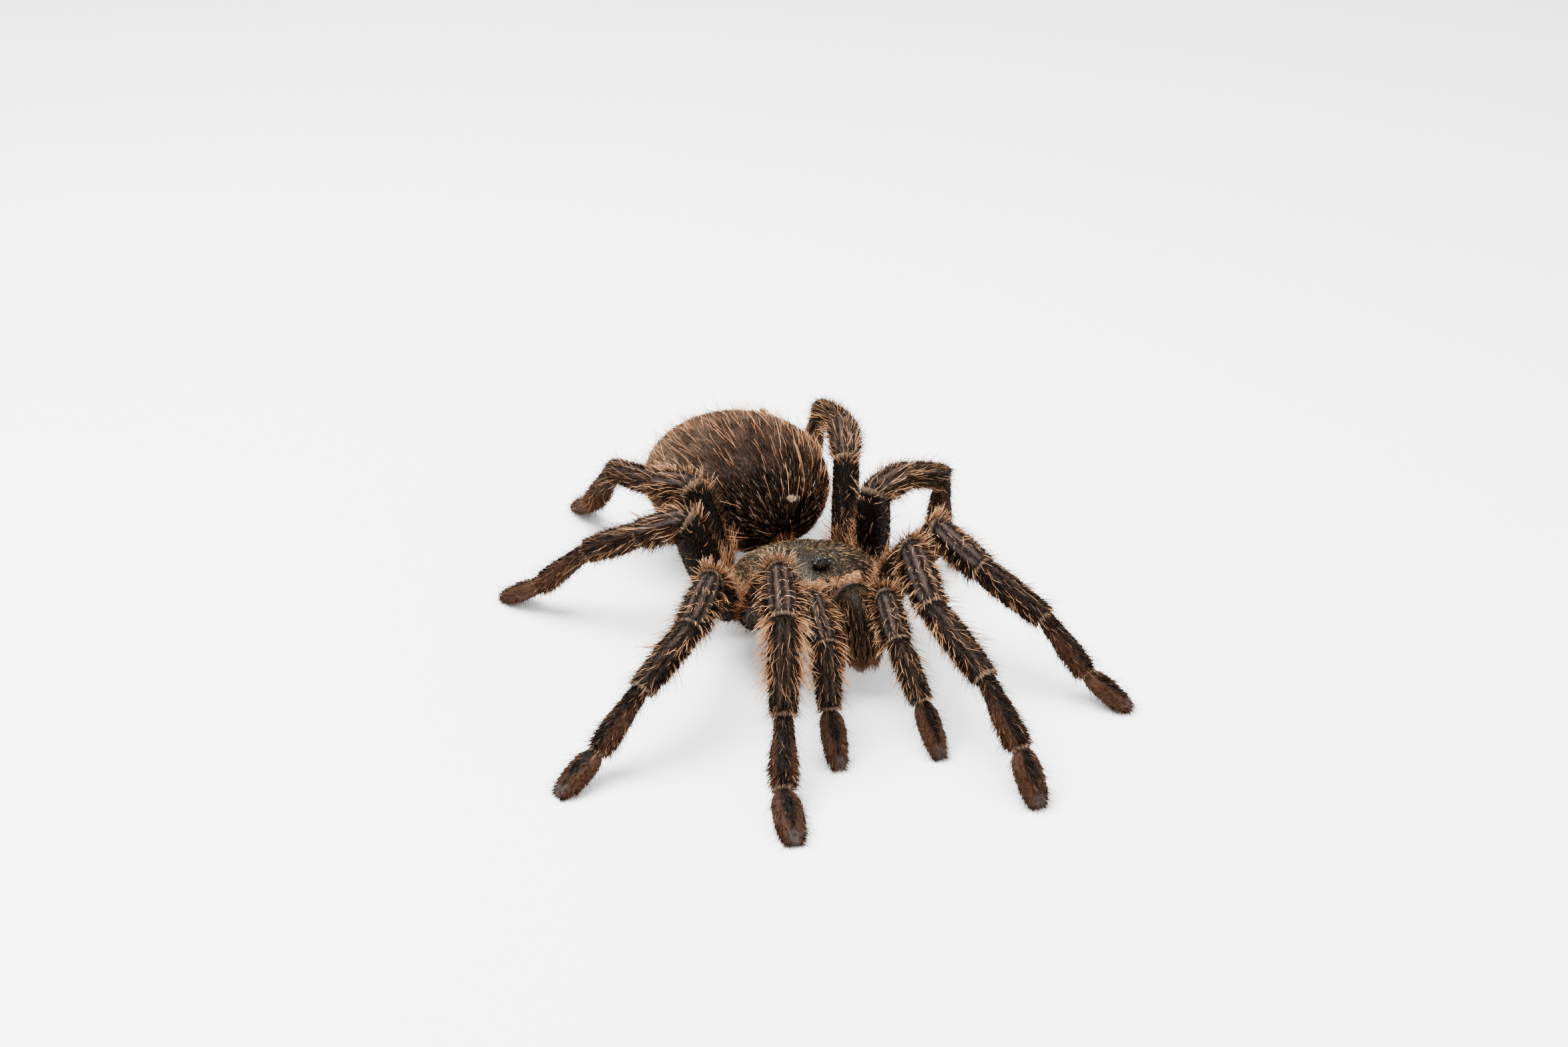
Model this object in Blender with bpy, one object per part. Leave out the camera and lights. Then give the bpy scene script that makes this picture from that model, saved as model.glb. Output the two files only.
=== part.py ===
"""A salmon pink birdeater, an adult female tarantula, as a still, life-size model.

Lengths are in millimetres and angles in degrees until finish() writes a piece in metres.
The spider faces -Y, its left side is +X, and the floor is z = 0. The prosoma is modelled
level in its own frame, centred over the floor point (0, 0), and is then tilted nose up.
"""
import math
import random

import bmesh
import bpy
import numpy as np
from mathutils import Euler, Matrix, Vector

MM = 0.001
GAP = 0.3
SEED = 11

# The model's place: the centre of its outline on the floor is moved to the origin
CENTRE = Vector((-5.5, 0.4, 0.0))

# Prosoma, the front half of the body, in its own level frame
BODY_HEIGHT = 13.2
BODY_PITCH = 12.0
CARAPACE_HALF_LENGTH = 16.6
CARAPACE_HALF_WIDTH = 15.8
CARAPACE_RIM = 2.0
CARAPACE_RISE = 6.5
CARAPACE_FRONT = -15.8
# Its outline from above is squarer than an oval and narrows to the front and, less, to the rear
CARAPACE_SQUARENESS = 2.4
FRONT_TAPER = 0.30
REAR_TAPER = 0.16
DOME_POWER = 0.85
# A swelling over the head and a pit in the middle: height, place along, half width and half length
HEAD_SWELL = (1.5, -8.5, 6.5, 6.0)
PIT = (-0.9, 3.0, 2.6, 1.8)
STERNUM_HALF = (6.9, 8.9)
STERNUM_DEPTHS = ((-5.4, 0.70), (-4.2, 0.93), (1.7, 1.0))
PEDICEL_RADIUS = 2.2

# Eyes on their mound: place beside and ahead of its centre, in parts of its half sizes, and radius
MOUND_CENTRE = Vector((0.0, -12.2, 8.4))
MOUND_HALF = (2.1, 1.5, 1.7)
EYE_SINK = 0.98
EYES = {
    "front_inner": (0.34, -0.62, 0.45),
    "front_outer": (0.80, -0.62, 0.43),
    "back_outer": (0.86, 0.10, 0.41),
    "back_inner": (0.52, 0.12, 0.30),
}
EYE_GAP = 0.12

# Chelicera, the block that carries a fang: middle line, half width and half depth
CHELICERA_LINE = (
    (4.4, -16.2, 0.4, 3.9, 3.4),
    (4.5, -18.6, 0.9, 4.3, 4.2),
    (4.5, -21.6, 0.2, 4.35, 4.7),
    (4.4, -24.2, -2.6, 4.25, 4.5),
    (4.3, -25.3, -6.6, 3.95, 3.8),
    (4.1, -24.8, -10.2, 3.1, 2.7),
)
FANG_LINE = (
    (4.0, -24.9, -11.0, 1.4),
    (3.9, -22.9, -12.9, 1.25),
    (3.9, -19.9, -13.2, 0.85),
    (4.0, -16.9, -11.8, 0.4),
)

# Abdomen
ABDOMEN_CENTRE = Vector((-1.7, 42.0, 19.0))
ABDOMEN_HALF = (21.7, 24.6, 15.0)
ABDOMEN_TURN = 8.0
# It widens to the rear and is a little flatter below
ABDOMEN_WIDENING = (0.10, -0.05)
ABDOMEN_BELLY = 0.94
SPINNERET_LINE = (
    (2.0, 20.5, -4.0, 1.7),
    (2.9, 24.6, -3.4, 1.45),
    (4.2, 28.2, -2.0, 1.1),
    (5.4, 30.6, -0.6, 0.6),
)

# Legs: where each femur starts, in the prosoma's frame on the left side
ROOTS = {
    "palp": (10.9, -16.3, -2.0),
    "leg_1": (15.7, -10.5, -1.4),
    "leg_2": (18.7, -2.7, -1.4),
    "leg_3": (18.8, 6.4, -1.4),
    "leg_4": (14.8, 14.6, -1.2),
}
# Where each coxa leaves the sternum, on the same side
HIPS = {
    "palp": (3.0, -7.4, -1.9),
    "leg_1": (5.0, -6.0, -1.9),
    "leg_2": (5.8, -2.0, -1.9),
    "leg_3": (5.8, 2.2, -1.9),
    "leg_4": (4.8, 6.2, -1.9),
}
# Lengths of femur, patella, tibia, metatarsus and tarsus; a palp has no metatarsus
LENGTHS = {
    "palp": (17.0, 10.6, 13.4, 12.3),
    "leg_1": (24.2, 15.2, 19.4, 16.2, 12.0),
    "leg_2": (22.4, 13.7, 16.7, 15.5, 11.8),
    "leg_3": (20.0, 12.2, 14.3, 16.8, 12.0),
    "leg_4": (24.2, 13.5, 19.6, 23.8, 12.4),
}
THICKNESS = {"palp": 0.86, "leg_1": 1.0, "leg_2": 0.98, "leg_3": 1.0, "leg_4": 0.98}
# Pose: heading from the front towards the limb's own side and climb of each bone
# The last bone has a heading alone, since it comes down to the floor
POSE = {
    ("palp", "left"): ((-14, 34), (-7, -23), (15, -49), (12,)),
    ("palp", "right"): ((-10, 42), (3, -26), (12, -56), (3,)),
    ("leg_1", "left"): ((-4, 50), (-4, -22), (16, -24), (11, -36), (8,)),
    ("leg_1", "right"): ((-2, 49), (16, -6), (18, -61), (19, -31), (7,)),
    ("leg_2", "left"): ((32, 51), (20, -15), (48, -31), (43, -46), (45,)),
    ("leg_2", "right"): ((32, 42), (35, -14), (59, -26), (72, -45), (63,)),
    ("leg_3", "left"): ((106, 91), (127, -3), (112, -18), (136, -96), (104,)),
    ("leg_3", "right"): ((108, 70), (128, -25), (126, -27), (124, -42), (139,)),
    ("leg_4", "left"): ((159, 63), (163, 10), (176, -14), (179, -62), (178,)),
    ("leg_4", "right"): ((127, 72), (160, -19), (162, -12), (175, -46), (172,)),
}
SOLE_HEIGHT = 0.3

# Half width and half depth of each bone, and its outline as place, width and depth along it
BONE_HALF = {
    "coxa": (3.5, 3.3),
    "femur": (3.3, 4.1),
    "patella": (3.25, 3.4),
    "tibia": (2.95, 3.1),
    "metatarsus": (2.6, 2.45),
    "tarsus": (2.95, 2.2),
}
BONE_OUTLINE = {
    "coxa": ((0.0, 0.62, 0.86), (0.45, 0.90, 1.0), (0.85, 1.1, 1.06)),
    "femur": ((0.22, 0.96, 1.0), (0.55, 1.0, 1.04), (0.80, 0.94, 0.94)),
    "patella": ((0.28, 0.98, 1.0), (0.70, 1.0, 0.98)),
    "tibia": ((0.20, 1.0, 1.0), (0.55, 1.0, 0.98), (0.82, 0.9, 0.9)),
    "metatarsus": ((0.22, 0.80, 0.84), (0.60, 1.0, 1.0)),
    "tarsus": ((0.25, 1.0, 1.0), (0.62, 1.0, 1.0), (0.88, 0.86, 0.86), (1.0, 0.5, 0.5)),
}
# Size of the joint at a bone's start, against the bone's own half sizes
JOINT_PINCH = {"femur": 0.95, "patella": 0.86, "tibia": 0.88, "metatarsus": 0.80, "tarsus": 0.95}
LIMB_SIDES = 8

# Locks of long bristles, flat and tapering: number, length, and lift from the surface at root and tip
LOCKS = {
    "femur": (5, 6.8, 36, 8),
    "patella": (6, 8.8, 40, 8),
    "tibia": (8, 9.4, 38, 6),
    "metatarsus": (4, 6.8, 34, 8),
    "tarsus": (3, 4.0, 30, 8),
    "chelicera": (8, 5.0, 30, 6),
    "abdomen": (66, 11.5, 34, -6),
}
LOCK_WIDTH = 2.2
ABDOMEN_LOCK_WIDTH = 3.6
LOCK_THICKNESS = 0.66
LOCK_SINK = 1.0
LOCK_TAPER = (0.8, 1.0, 0.68)
LOCK_STEPS = (0.0, 0.30, 0.66, 1.0)
LOCK_FLOOR = 0.9
LOCK_TRIES = 14
LOCK_SPREAD = (-20, 220)
CHELICERA_LOCK_PLACES = (2.0, 2.7)
CHELICERA_LOCK_SPREAD = (-35, 130)
CHELICERA_LOCK_WIDTH = 1.3
# The abdomen's locks reach down from its top by this part of its height, and leave its front and rear bare
ABDOMEN_LOCK_REACH = 0.86
ABDOMEN_BARE_FRONT = -0.90
ABDOMEN_BARE_REAR = (0.86, 0.1, 0.45)
# The flow of the abdomen's coat: out to the side, back, and down below the shoulder
ABDOMEN_FLOW = (0.9, 1.0, -0.55, 0.1)
ABDOMEN_SHOULDER = 0.6
GOLDEN = (math.sqrt(5.0) - 1.0) / 2.0

# Room kept by the body for the locks of its neighbours: beside, along and radius of short thick lines
LIMB_ROOM = 1.05
CARAPACE_ROOM = ((0.0, -7.0, 9.4), (0.0, 2.0, 9.4), (-6.4, 2.5, 8.4), (6.4, 2.5, 8.4))
ABDOMEN_ROOM = ((0.0, -7.0, 7.0, 15.0), (-7.0, -6.0, 8.0, 14.6), (7.0, -6.0, 8.0, 14.6))

COLOURS = {
    "abdomen": (0.085, 0.060, 0.050),
    "carapace": (0.045, 0.036, 0.024),
    "sternum": (0.030, 0.022, 0.018),
    "chelicera": (0.120, 0.070, 0.060),
    "fang": (0.020, 0.012, 0.010),
    "mound": (0.012, 0.010, 0.010),
    "eye": (0.020, 0.018, 0.016),
    "coxa": (0.200, 0.090, 0.055),
    "femur": (0.030, 0.022, 0.020),
    "tibia": (0.150, 0.095, 0.065),
    "foot": (0.090, 0.045, 0.035),
    "spinneret": (0.110, 0.080, 0.060),
}
GLOSSY = ("eye", "mound", "fang")


def clear_scene():
    """Removes what the file opened with."""
    for thing in list(bpy.data.objects):
        bpy.data.objects.remove(thing, do_unlink=True)


def new_collection(name):
    """A collection in the scene."""
    collection = bpy.data.collections.new(name)
    bpy.context.scene.collection.children.link(collection)
    return collection


def material(kind):
    """The plain material of one kind of piece."""
    found = bpy.data.materials.get(kind)
    if found:
        return found
    made = bpy.data.materials.new(kind)
    made.use_nodes = True
    shader = made.node_tree.nodes["Principled BSDF"]
    shader.inputs["Base Color"].default_value = (*COLOURS[kind], 1.0)
    shader.inputs["Roughness"].default_value = 0.18 if kind in GLOSSY else 0.75
    shader.inputs["Metallic"].default_value = 0.0
    return made


def add_object(name, bm, collection):
    """A new object with the mesh that a bmesh holds, its faces made triangles."""
    bmesh.ops.triangulate(bm, faces=bm.faces)
    bmesh.ops.recalc_face_normals(bm, faces=bm.faces)
    mesh = bpy.data.meshes.new(name)
    bm.to_mesh(mesh)
    bm.free()
    made = bpy.data.objects.new(name, mesh)
    collection.objects.link(made)
    return made


def largest_surface(bm):
    """Keeps the largest closed surface of a mesh."""
    left = set(bm.verts)
    best = set()
    while left:
        island = {left.pop()}
        front = list(island)
        while front:
            vert = front.pop()
            for edge in vert.link_edges:
                other = edge.other_vert(vert)
                if other not in island:
                    island.add(other)
                    front.append(other)
        left -= island
        if len(island) > len(best):
            best = island
    bmesh.ops.delete(bm, geom=[vert for vert in bm.verts if vert not in best], context="VERTS")


def closed(mesh):
    """True where each edge of a mesh joins two faces."""
    bm = bmesh.new()
    bm.from_mesh(mesh)
    result = len(bm.faces) > 0 and all(edge.is_manifold for edge in bm.edges)
    bm.free()
    return result


def boolean(piece, operation, others):
    """Joins other closed pieces to this one, or cuts it by them, and removes them."""
    helpers = bpy.data.collections.new("helpers")
    bpy.context.scene.collection.children.link(helpers)
    for other in others:
        helpers.objects.link(other)
    for solver in ("EXACT", "MANIFOLD"):
        modifier = piece.modifiers.new("Boolean", "BOOLEAN")
        modifier.operand_type = "COLLECTION"
        modifier.collection = helpers
        modifier.operation = operation
        modifier.solver = solver
        depsgraph = bpy.context.evaluated_depsgraph_get()
        mesh = bpy.data.meshes.new_from_object(piece.evaluated_get(depsgraph))
        piece.modifiers.remove(modifier)
        bm = bmesh.new()
        bm.from_mesh(mesh)
        largest_surface(bm)
        bmesh.ops.triangulate(bm, faces=bm.faces)
        bm.to_mesh(mesh)
        bm.free()
        if closed(mesh):
            break
    piece.data = mesh
    for other in others:
        bpy.data.objects.remove(other, do_unlink=True)
    bpy.data.collections.remove(helpers)


def copy_of(piece, placing):
    """A bmesh copy of a piece, moved by a matrix."""
    bm = bmesh.new()
    bm.from_mesh(piece.data)
    bmesh.ops.transform(bm, matrix=placing, verts=bm.verts)
    return bm


def grown_copy(piece, gap, cutters):
    """A cutter: a copy of a piece that is larger all round by a gap."""
    bm = bmesh.new()
    bm.from_mesh(piece.data)
    bm.normal_update()
    for vert, shift in [(vert, vert.normal * gap) for vert in bm.verts]:
        vert.co += shift
    cutter = add_object(piece.name + "_room", bm, cutters)
    cutter.hide_render = True
    cutter.display_type = "WIRE"
    return cutter


def loft(rings):
    """Joins rings of points, one after another, into a closed tube with flat ends."""
    bm = bmesh.new()
    loops = [[bm.verts.new(point) for point in ring] for ring in rings]
    bm.faces.new(loops[0])
    bm.faces.new(reversed(loops[-1]))
    for first, second in zip(loops, loops[1:]):
        for index in range(len(first)):
            bm.faces.new((first[index - 1], first[index], second[index], second[index - 1]))
    return bm


def ring(centre, across, up, half_width, half_depth, sides=LIMB_SIDES):
    """An oval of points round a centre."""
    points = []
    for index in range(sides):
        turn = math.tau * (index + 0.5) / sides
        side = across * (half_width * math.cos(turn))
        points.append(centre + side + up * (half_depth * math.sin(turn)))
    return points


def finish(piece, kind, pivot, frame):
    """Gives a piece its material, its origin at a pivot, its metres and its parent frame."""
    piece.data.transform(Matrix.Translation(-pivot))
    piece.data.transform(Matrix.Scale(MM, 4))
    piece.location = pivot * MM
    piece.parent = frame
    piece.data.materials.clear()
    piece.data.materials.append(material(kind))
    piece.data.shade_smooth()
    piece.data.set_sharp_from_angle(angle=math.radians(50))


class Limb:
    """One leg or palp: its joints, and the directions along, across and up from each bone."""

    def __init__(self, kind, side, tilt):
        self.name = kind + "_" + side
        self.hand = 1.0 if side == "left" else -1.0
        self.bones = ["coxa", "femur", "patella", "tibia", "metatarsus", "tarsus"]
        if kind == "palp":
            self.bones.remove("metatarsus")
        self.scale = THICKNESS[kind]
        mirror = Vector((self.hand, 1.0, 1.0))
        hip = tilt @ (Vector(HIPS[kind]) * mirror)
        root = tilt @ (Vector(ROOTS[kind]) * mirror)
        self.joints = [hip, root]
        run = (root - hip).normalized()
        self.frames = [self.frame(math.atan2(self.hand * run.x, -run.y), math.asin(run.z))]
        for length, bearing in zip(LENGTHS[kind], POSE[kind, side]):
            if len(bearing) == 2:
                climb = math.radians(bearing[1])
            else:
                climb = math.asin((SOLE_HEIGHT - self.joints[-1].z) / length)
            self.frames.append(self.frame(math.radians(bearing[0]), climb))
            self.joints.append(self.joints[-1] + self.frames[-1][0] * length)

    def frame(self, heading, climb):
        """Directions along, across and up from a bone of a heading and a climb."""
        along = Vector((self.hand * math.sin(heading) * math.cos(climb),
                        -math.cos(heading) * math.cos(climb), math.sin(climb)))
        across = Vector((self.hand * math.cos(heading), math.sin(heading), 0.0))
        up = Vector((-self.hand * math.sin(heading) * math.sin(climb),
                     math.cos(heading) * math.sin(climb), math.cos(climb)))
        return along, across, up

    def joint_ring(self, index, offset):
        """The oval where two bones meet, in the plane half way between them."""
        along = (self.frames[index - 1][0] + self.frames[index][0]).normalized()
        across = self.frames[index - 1][1] + self.frames[index][1]
        across = (across - along * across.dot(along)).normalized()
        up = (self.frames[index - 1][2] + self.frames[index][2]).normalized()
        up = (up - along * up.dot(along) - across * up.dot(across)).normalized()
        bone = self.bones[index]
        pinch = JOINT_PINCH[bone] * self.scale
        slant = along.dot(self.frames[index][0])
        width = BONE_HALF[bone][0] * pinch
        depth = BONE_HALF[bone][1] * pinch / slant
        return ring(self.joints[index] + along * offset, across, up, width, depth)

    def bone_rings(self, index):
        """The ovals along one bone."""
        bone = self.bones[index]
        along, across, up = self.frames[index]
        start = self.joints[index]
        length = (self.joints[index + 1] - start).length
        width, depth = (half * self.scale for half in BONE_HALF[bone])
        return [ring(start + along * (length * place), across, up, width * wide, depth * deep)
                for place, wide, deep in BONE_OUTLINE[bone]]

    def body(self, first, last):
        """A closed tube over the bones from first to last, GAP clear of the next ones."""
        rings = []
        if first > 0:
            rings.append(self.joint_ring(first, GAP / 2))
        for index in range(first, last + 1):
            rings += self.bone_rings(index)
            if index < last:
                rings.append(self.joint_ring(index + 1, 0.0))
        if last + 1 < len(self.bones):
            rings.append(self.joint_ring(last + 1, -GAP / 2))
        return loft(rings)

    def pieces(self):
        """The limb's nodes: their names and the first and last bone of each."""
        last = len(self.bones) - 1
        return (("coxa", 0, 0), ("femur", 1, 1), ("tibia", 2, 3), ("foot", 4, last))


class Room:
    """What locks keep clear of: thick lines along the bones and along the locks of other nodes."""

    def __init__(self):
        self.owners = []
        self.lines = []

    def add(self, node, start, end, radius):
        """One thick line of a node."""
        self.owners.append(node)
        self.lines.append((*start, *end, radius))

    def clear(self, node, points, half_width):
        """True where a line of points is above the floor and clear of all other nodes."""
        if min(point.z for point in points) < LOCK_FLOOR:
            return False
        spots = list(points[1:]) + [first.lerp(second, 0.5) for first, second in zip(points, points[1:])]
        spots = np.array([spot[:] for spot in spots])[:, None, :]
        others = np.array([line for owner, line in zip(self.owners, self.lines) if owner != node])
        start, run, radius = others[:, :3], others[:, 3:6] - others[:, :3], others[:, 6]
        place = ((spots - start) * run).sum(axis=2) / np.maximum((run * run).sum(axis=1), 0.0001)
        nearest = start + np.clip(place, 0.0, 1.0)[:, :, None] * run
        distance = np.linalg.norm(spots - nearest, axis=2) - radius
        return bool(distance.min() > GAP + half_width)


def lock_line(root, along, normal, length, lift_root, lift_tip):
    """The bent middle line of a lock: it starts under the surface, rises and lies back along it."""
    points = [root - normal * LOCK_SINK - along * (0.4 * LOCK_SINK)]
    spot = root
    for first, second in zip(LOCK_STEPS, LOCK_STEPS[1:]):
        place = (first + second) / 2
        lift = math.radians(lift_root + (lift_tip - lift_root) * place)
        spot = spot + (along * math.cos(lift) + normal * math.sin(lift)) * (length * (second - first))
        points.append(spot)
    return points


def lock(name, points, normal, width, collection):
    """A flat three-sided lock along a line of points, ending in a point."""
    bm = bmesh.new()
    loops = []
    for index, size in enumerate(LOCK_TAPER):
        along = (points[index + 1] - points[max(index - 1, 0)]).normalized()
        across = along.cross(normal).normalized()
        up = across.cross(along)
        thick = LOCK_THICKNESS * (0.5 + 0.5 * size)
        wide = 0.5 * width * size
        corners = ((-wide, -0.4 * thick), (wide, -0.4 * thick), (0.0, 0.6 * thick))
        loops.append([bm.verts.new(points[index] + across * x + up * y) for x, y in corners])
    bm.faces.new(loops[0])
    tip = bm.verts.new(points[-1])
    for first, second in zip(loops, loops[1:]):
        for index in range(3):
            bm.faces.new((first[index - 1], first[index], second[index], second[index - 1]))
    for index in range(3):
        bm.faces.new((loops[-1][index - 1], loops[-1][index], tip))
    return add_object(name, bm, collection)


def place_lock(node, spots, kind, width, room, draw, collection):
    """Makes the first lock of a run of tried spots that is clear of every other node."""
    length, lift_root, lift_tip = LOCKS[kind][1:]
    for root, along, normal in spots:
        grown = length * draw.uniform(0.85, 1.15)
        points = lock_line(root, along, normal, grown, lift_root * draw.uniform(0.85, 1.2), lift_tip)
        if room.clear(node, points[1:], width / 2):
            for start, end in zip(points[1:], points[2:]):
                room.add(node, start, end, 0.4 * width)
            return [lock(node + "_lock", points, normal, width, collection)]
    return []


def limb_locks(limb, node, first, last, room, draw, collection):
    """The locks on one node of a limb, spread over the top and sides of its bones."""
    made = []
    for index in range(first, last + 1):
        bone = limb.bones[index]
        if bone not in LOCKS:
            continue
        along, across, up = limb.frames[index]
        start = limb.joints[index]
        length = (limb.joints[index + 1] - start).length
        width, depth = (half * limb.scale * 0.97 for half in BONE_HALF[bone])
        number = max(2, round(LOCKS[bone][0] * length / LENGTHS["leg_1"][index - 1]))
        for count in range(number):
            spots = []
            for attempt in range(LOCK_TRIES):
                place = 0.10 + 0.80 * (count + draw.uniform(0.2, 0.8)) / number
                round_it = (count * GOLDEN + attempt * 0.07 + draw.uniform(0, 0.1)) % 1.0
                turn = math.radians(LOCK_SPREAD[0] + LOCK_SPREAD[1] * round_it)
                side = across * math.cos(turn) * width + up * math.sin(turn) * depth
                normal = (across * math.cos(turn) / width + up * math.sin(turn) / depth).normalized()
                sweep = (along + across * (0.25 * math.cos(turn))).normalized()
                sweep = (sweep - normal * sweep.dot(normal)).normalized()
                spots.append((start + along * (length * place) + side, sweep, normal))
            made += place_lock(node, spots, bone, LOCK_WIDTH * limb.scale, room, draw, collection)
    return made


def abdomen_locks(turn, room, draw, collection):
    """The abdomen's long bristles: they leave the front and lie back over the top and sides."""
    made = []
    rotate = turn.to_3x3()
    number = LOCKS["abdomen"][0]
    for count in range(number):
        spots = []
        for attempt in range(LOCK_TRIES):
            z = 1.0 - 2.0 * ABDOMEN_LOCK_REACH * (count + draw.uniform(0.3, 0.7)) / number
            heading = math.tau * (count * GOLDEN + 0.02 * attempt)
            flat = math.sqrt(max(0.0, 1.0 - z * z))
            unit = Vector((flat * math.cos(heading), flat * math.sin(heading), z))
            behind, low, beside = ABDOMEN_BARE_REAR
            at_rear = unit.y > behind and unit.z < low and abs(unit.x) < beside
            if unit.y < ABDOMEN_BARE_FRONT or at_rear:
                break
            root = abdomen_point(unit)
            normal = Vector([part / half for part, half in zip(unit, ABDOMEN_HALF)]).normalized()
            side, back, down, level = ABDOMEN_FLOW
            flow = Vector((side * unit.x, back, down if unit.z < ABDOMEN_SHOULDER else level))
            flow = (flow - normal * flow.dot(normal)).normalized()
            spots.append((turn @ root, rotate @ flow, rotate @ normal))
        made += place_lock("abdomen", spots, "abdomen", ABDOMEN_LOCK_WIDTH, room, draw, collection)
    return made


def chelicera_locks(side, hand, tilt, room, draw, collection):
    """The hair that hangs down the front and outer side of a chelicera."""
    made = []
    rotate = tilt.to_3x3()
    number = LOCKS["chelicera"][0]
    line = line_points(CHELICERA_LINE, hand, Matrix())
    for count in range(number):
        spots = []
        for attempt in range(LOCK_TRIES):
            first, reach = CHELICERA_LOCK_PLACES
            place = first + reach * (count + draw.uniform(0.2, 0.8)) / number
            index = int(place)
            centre = line[index].lerp(line[index + 1], place - index)
            down = (line[index + 1] - line[index - 1]).normalized()
            front = (Vector((0, -1, 0.2)) - down * Vector((0, -1, 0.2)).dot(down)).normalized()
            inner, spread = CHELICERA_LOCK_SPREAD
            turn = math.radians(inner + spread * ((count * GOLDEN + 0.1 * attempt) % 1.0))
            normal = front * math.cos(turn) + Vector((hand, 0, 0)) * math.sin(turn)
            normal = (normal - down * normal.dot(down)).normalized()
            half = CHELICERA_LINE[index][3] * 0.97
            spots.append((tilt @ (centre + normal * half), rotate @ down, rotate @ normal))
        name = "chelicera_" + side
        made += place_lock(name, spots, "chelicera", CHELICERA_LOCK_WIDTH, room, draw, collection)
    return made


def rest_on_floor(piece):
    """Cuts a foot flat where it meets the floor."""
    bm = bmesh.new()
    bm.from_mesh(piece.data)
    geometry = bm.verts[:] + bm.edges[:] + bm.faces[:]
    cut = bmesh.ops.bisect_plane(bm, geom=geometry, dist=0.0001, plane_co=(0, 0, 0),
                                 plane_no=(0, 0, -1), clear_outer=True)
    rim = [item for item in cut["geom_cut"] if isinstance(item, bmesh.types.BMEdge)]
    bmesh.ops.holes_fill(bm, edges=rim, sides=0)
    bmesh.ops.triangulate(bm, faces=bm.faces)
    bmesh.ops.recalc_face_normals(bm, faces=bm.faces)
    bm.to_mesh(piece.data)
    bm.free()


def make_limb(limb, neighbours, room, draw, collection, cutters, spider):
    """Makes a leg's or palp's nodes, the first two cut clear of the body pieces next to them."""
    for part, first, last in limb.pieces():
        piece = add_object(limb.name + "_" + part, limb.body(first, last), collection)
        if part in ("coxa", "femur"):
            boolean(piece, "DIFFERENCE", [grown_copy(other, GAP, cutters) for other in neighbours])
        if part == "coxa":
            coxa = add_object(piece.name + "_in_place", copy_of(piece, Matrix()), cutters)
        locks = limb_locks(limb, piece.name, first, last, room, draw, cutters)
        if locks:
            boolean(piece, "UNION", locks)
        if part == "foot":
            rest_on_floor(piece)
        finish(piece, part, limb.joints[first], spider)
    return coxa


def swelling(shape, wide, long):
    """The height that a round swelling, or a pit, adds at a place of the carapace."""
    height, place, half_width, half_length = shape
    return height * math.exp(-(wide / half_width) ** 2 - ((long - place) / half_length) ** 2)


def make_carapace(collection):
    """The domed shield: half a sphere, widened behind and raised over the head."""
    bm = bmesh.new()
    bmesh.ops.create_uvsphere(bm, u_segments=24, v_segments=12, radius=1.0)
    geometry = bm.verts[:] + bm.edges[:] + bm.faces[:]
    bmesh.ops.bisect_plane(bm, geom=geometry, dist=0.0001, plane_co=(0, 0, 0),
                           plane_no=(0, 0, -1), clear_outer=True)
    rim = [edge for edge in bm.edges if edge.is_boundary]
    bmesh.ops.holes_fill(bm, edges=rim, sides=0)
    for vert in bm.verts:
        x, y, z = vert.co
        power = CARAPACE_SQUARENESS
        square = (abs(x) ** power + abs(y) ** power) ** (1 / power)
        fill = math.hypot(x, y) / square if square > 0 else 1.0
        long = y * fill * CARAPACE_HALF_LENGTH
        taper = 1.0 - FRONT_TAPER * max(0.0, -y) ** 2 - REAR_TAPER * max(0.0, y) ** 2
        wide = x * fill * CARAPACE_HALF_WIDTH * taper
        relief = swelling(HEAD_SWELL, wide, long) + swelling(PIT, wide, long)
        high = CARAPACE_RIM + CARAPACE_RISE * z ** DOME_POWER + relief * z
        vert.co = (wide, max(long, CARAPACE_FRONT), high)
    return add_object("carapace", bm, collection)


def make_sternum(collection):
    """The breastplate and the middle of the prosoma, which the coxae meet."""
    across, along = Vector((1, 0, 0)), Vector((0, 1, 0))
    width, length = STERNUM_HALF
    rings = [ring(Vector((0, 0, height)), across, along, width * size, length * size, 16)
             for height, size in STERNUM_DEPTHS]
    return add_object("sternum", loft(rings), collection)


def line_points(line, hand, placing):
    """The points of a line on one side of the body, moved by a matrix."""
    return [placing @ Vector((hand * row[0], row[1], row[2])) for row in line]


def line_loft(line, hand, sides):
    """A tube along a line of points with their half widths and half depths."""
    points = line_points(line, hand, Matrix())
    rings = []
    for index, row in enumerate(line):
        before = points[max(index - 1, 0)]
        after = points[min(index + 1, len(points) - 1)]
        along = (after - before).normalized()
        across = Vector((1, 0, 0))
        across = (across - along * across.dot(along)).normalized()
        up = along.cross(across)
        rings.append(ring(points[index], across, up, row[3], row[-1], sides))
    return loft(rings)


def make_chelicera(side, hand, collection):
    """One chelicera, flat on its inner face."""
    bm = line_loft(CHELICERA_LINE, hand, 12)
    for vert in bm.verts:
        vert.co.x = hand * max(hand * vert.co.x, GAP / 2)
        vert.co.y = min(vert.co.y, CARAPACE_FRONT - GAP)
    return add_object("chelicera_" + side, bm, collection)


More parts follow.
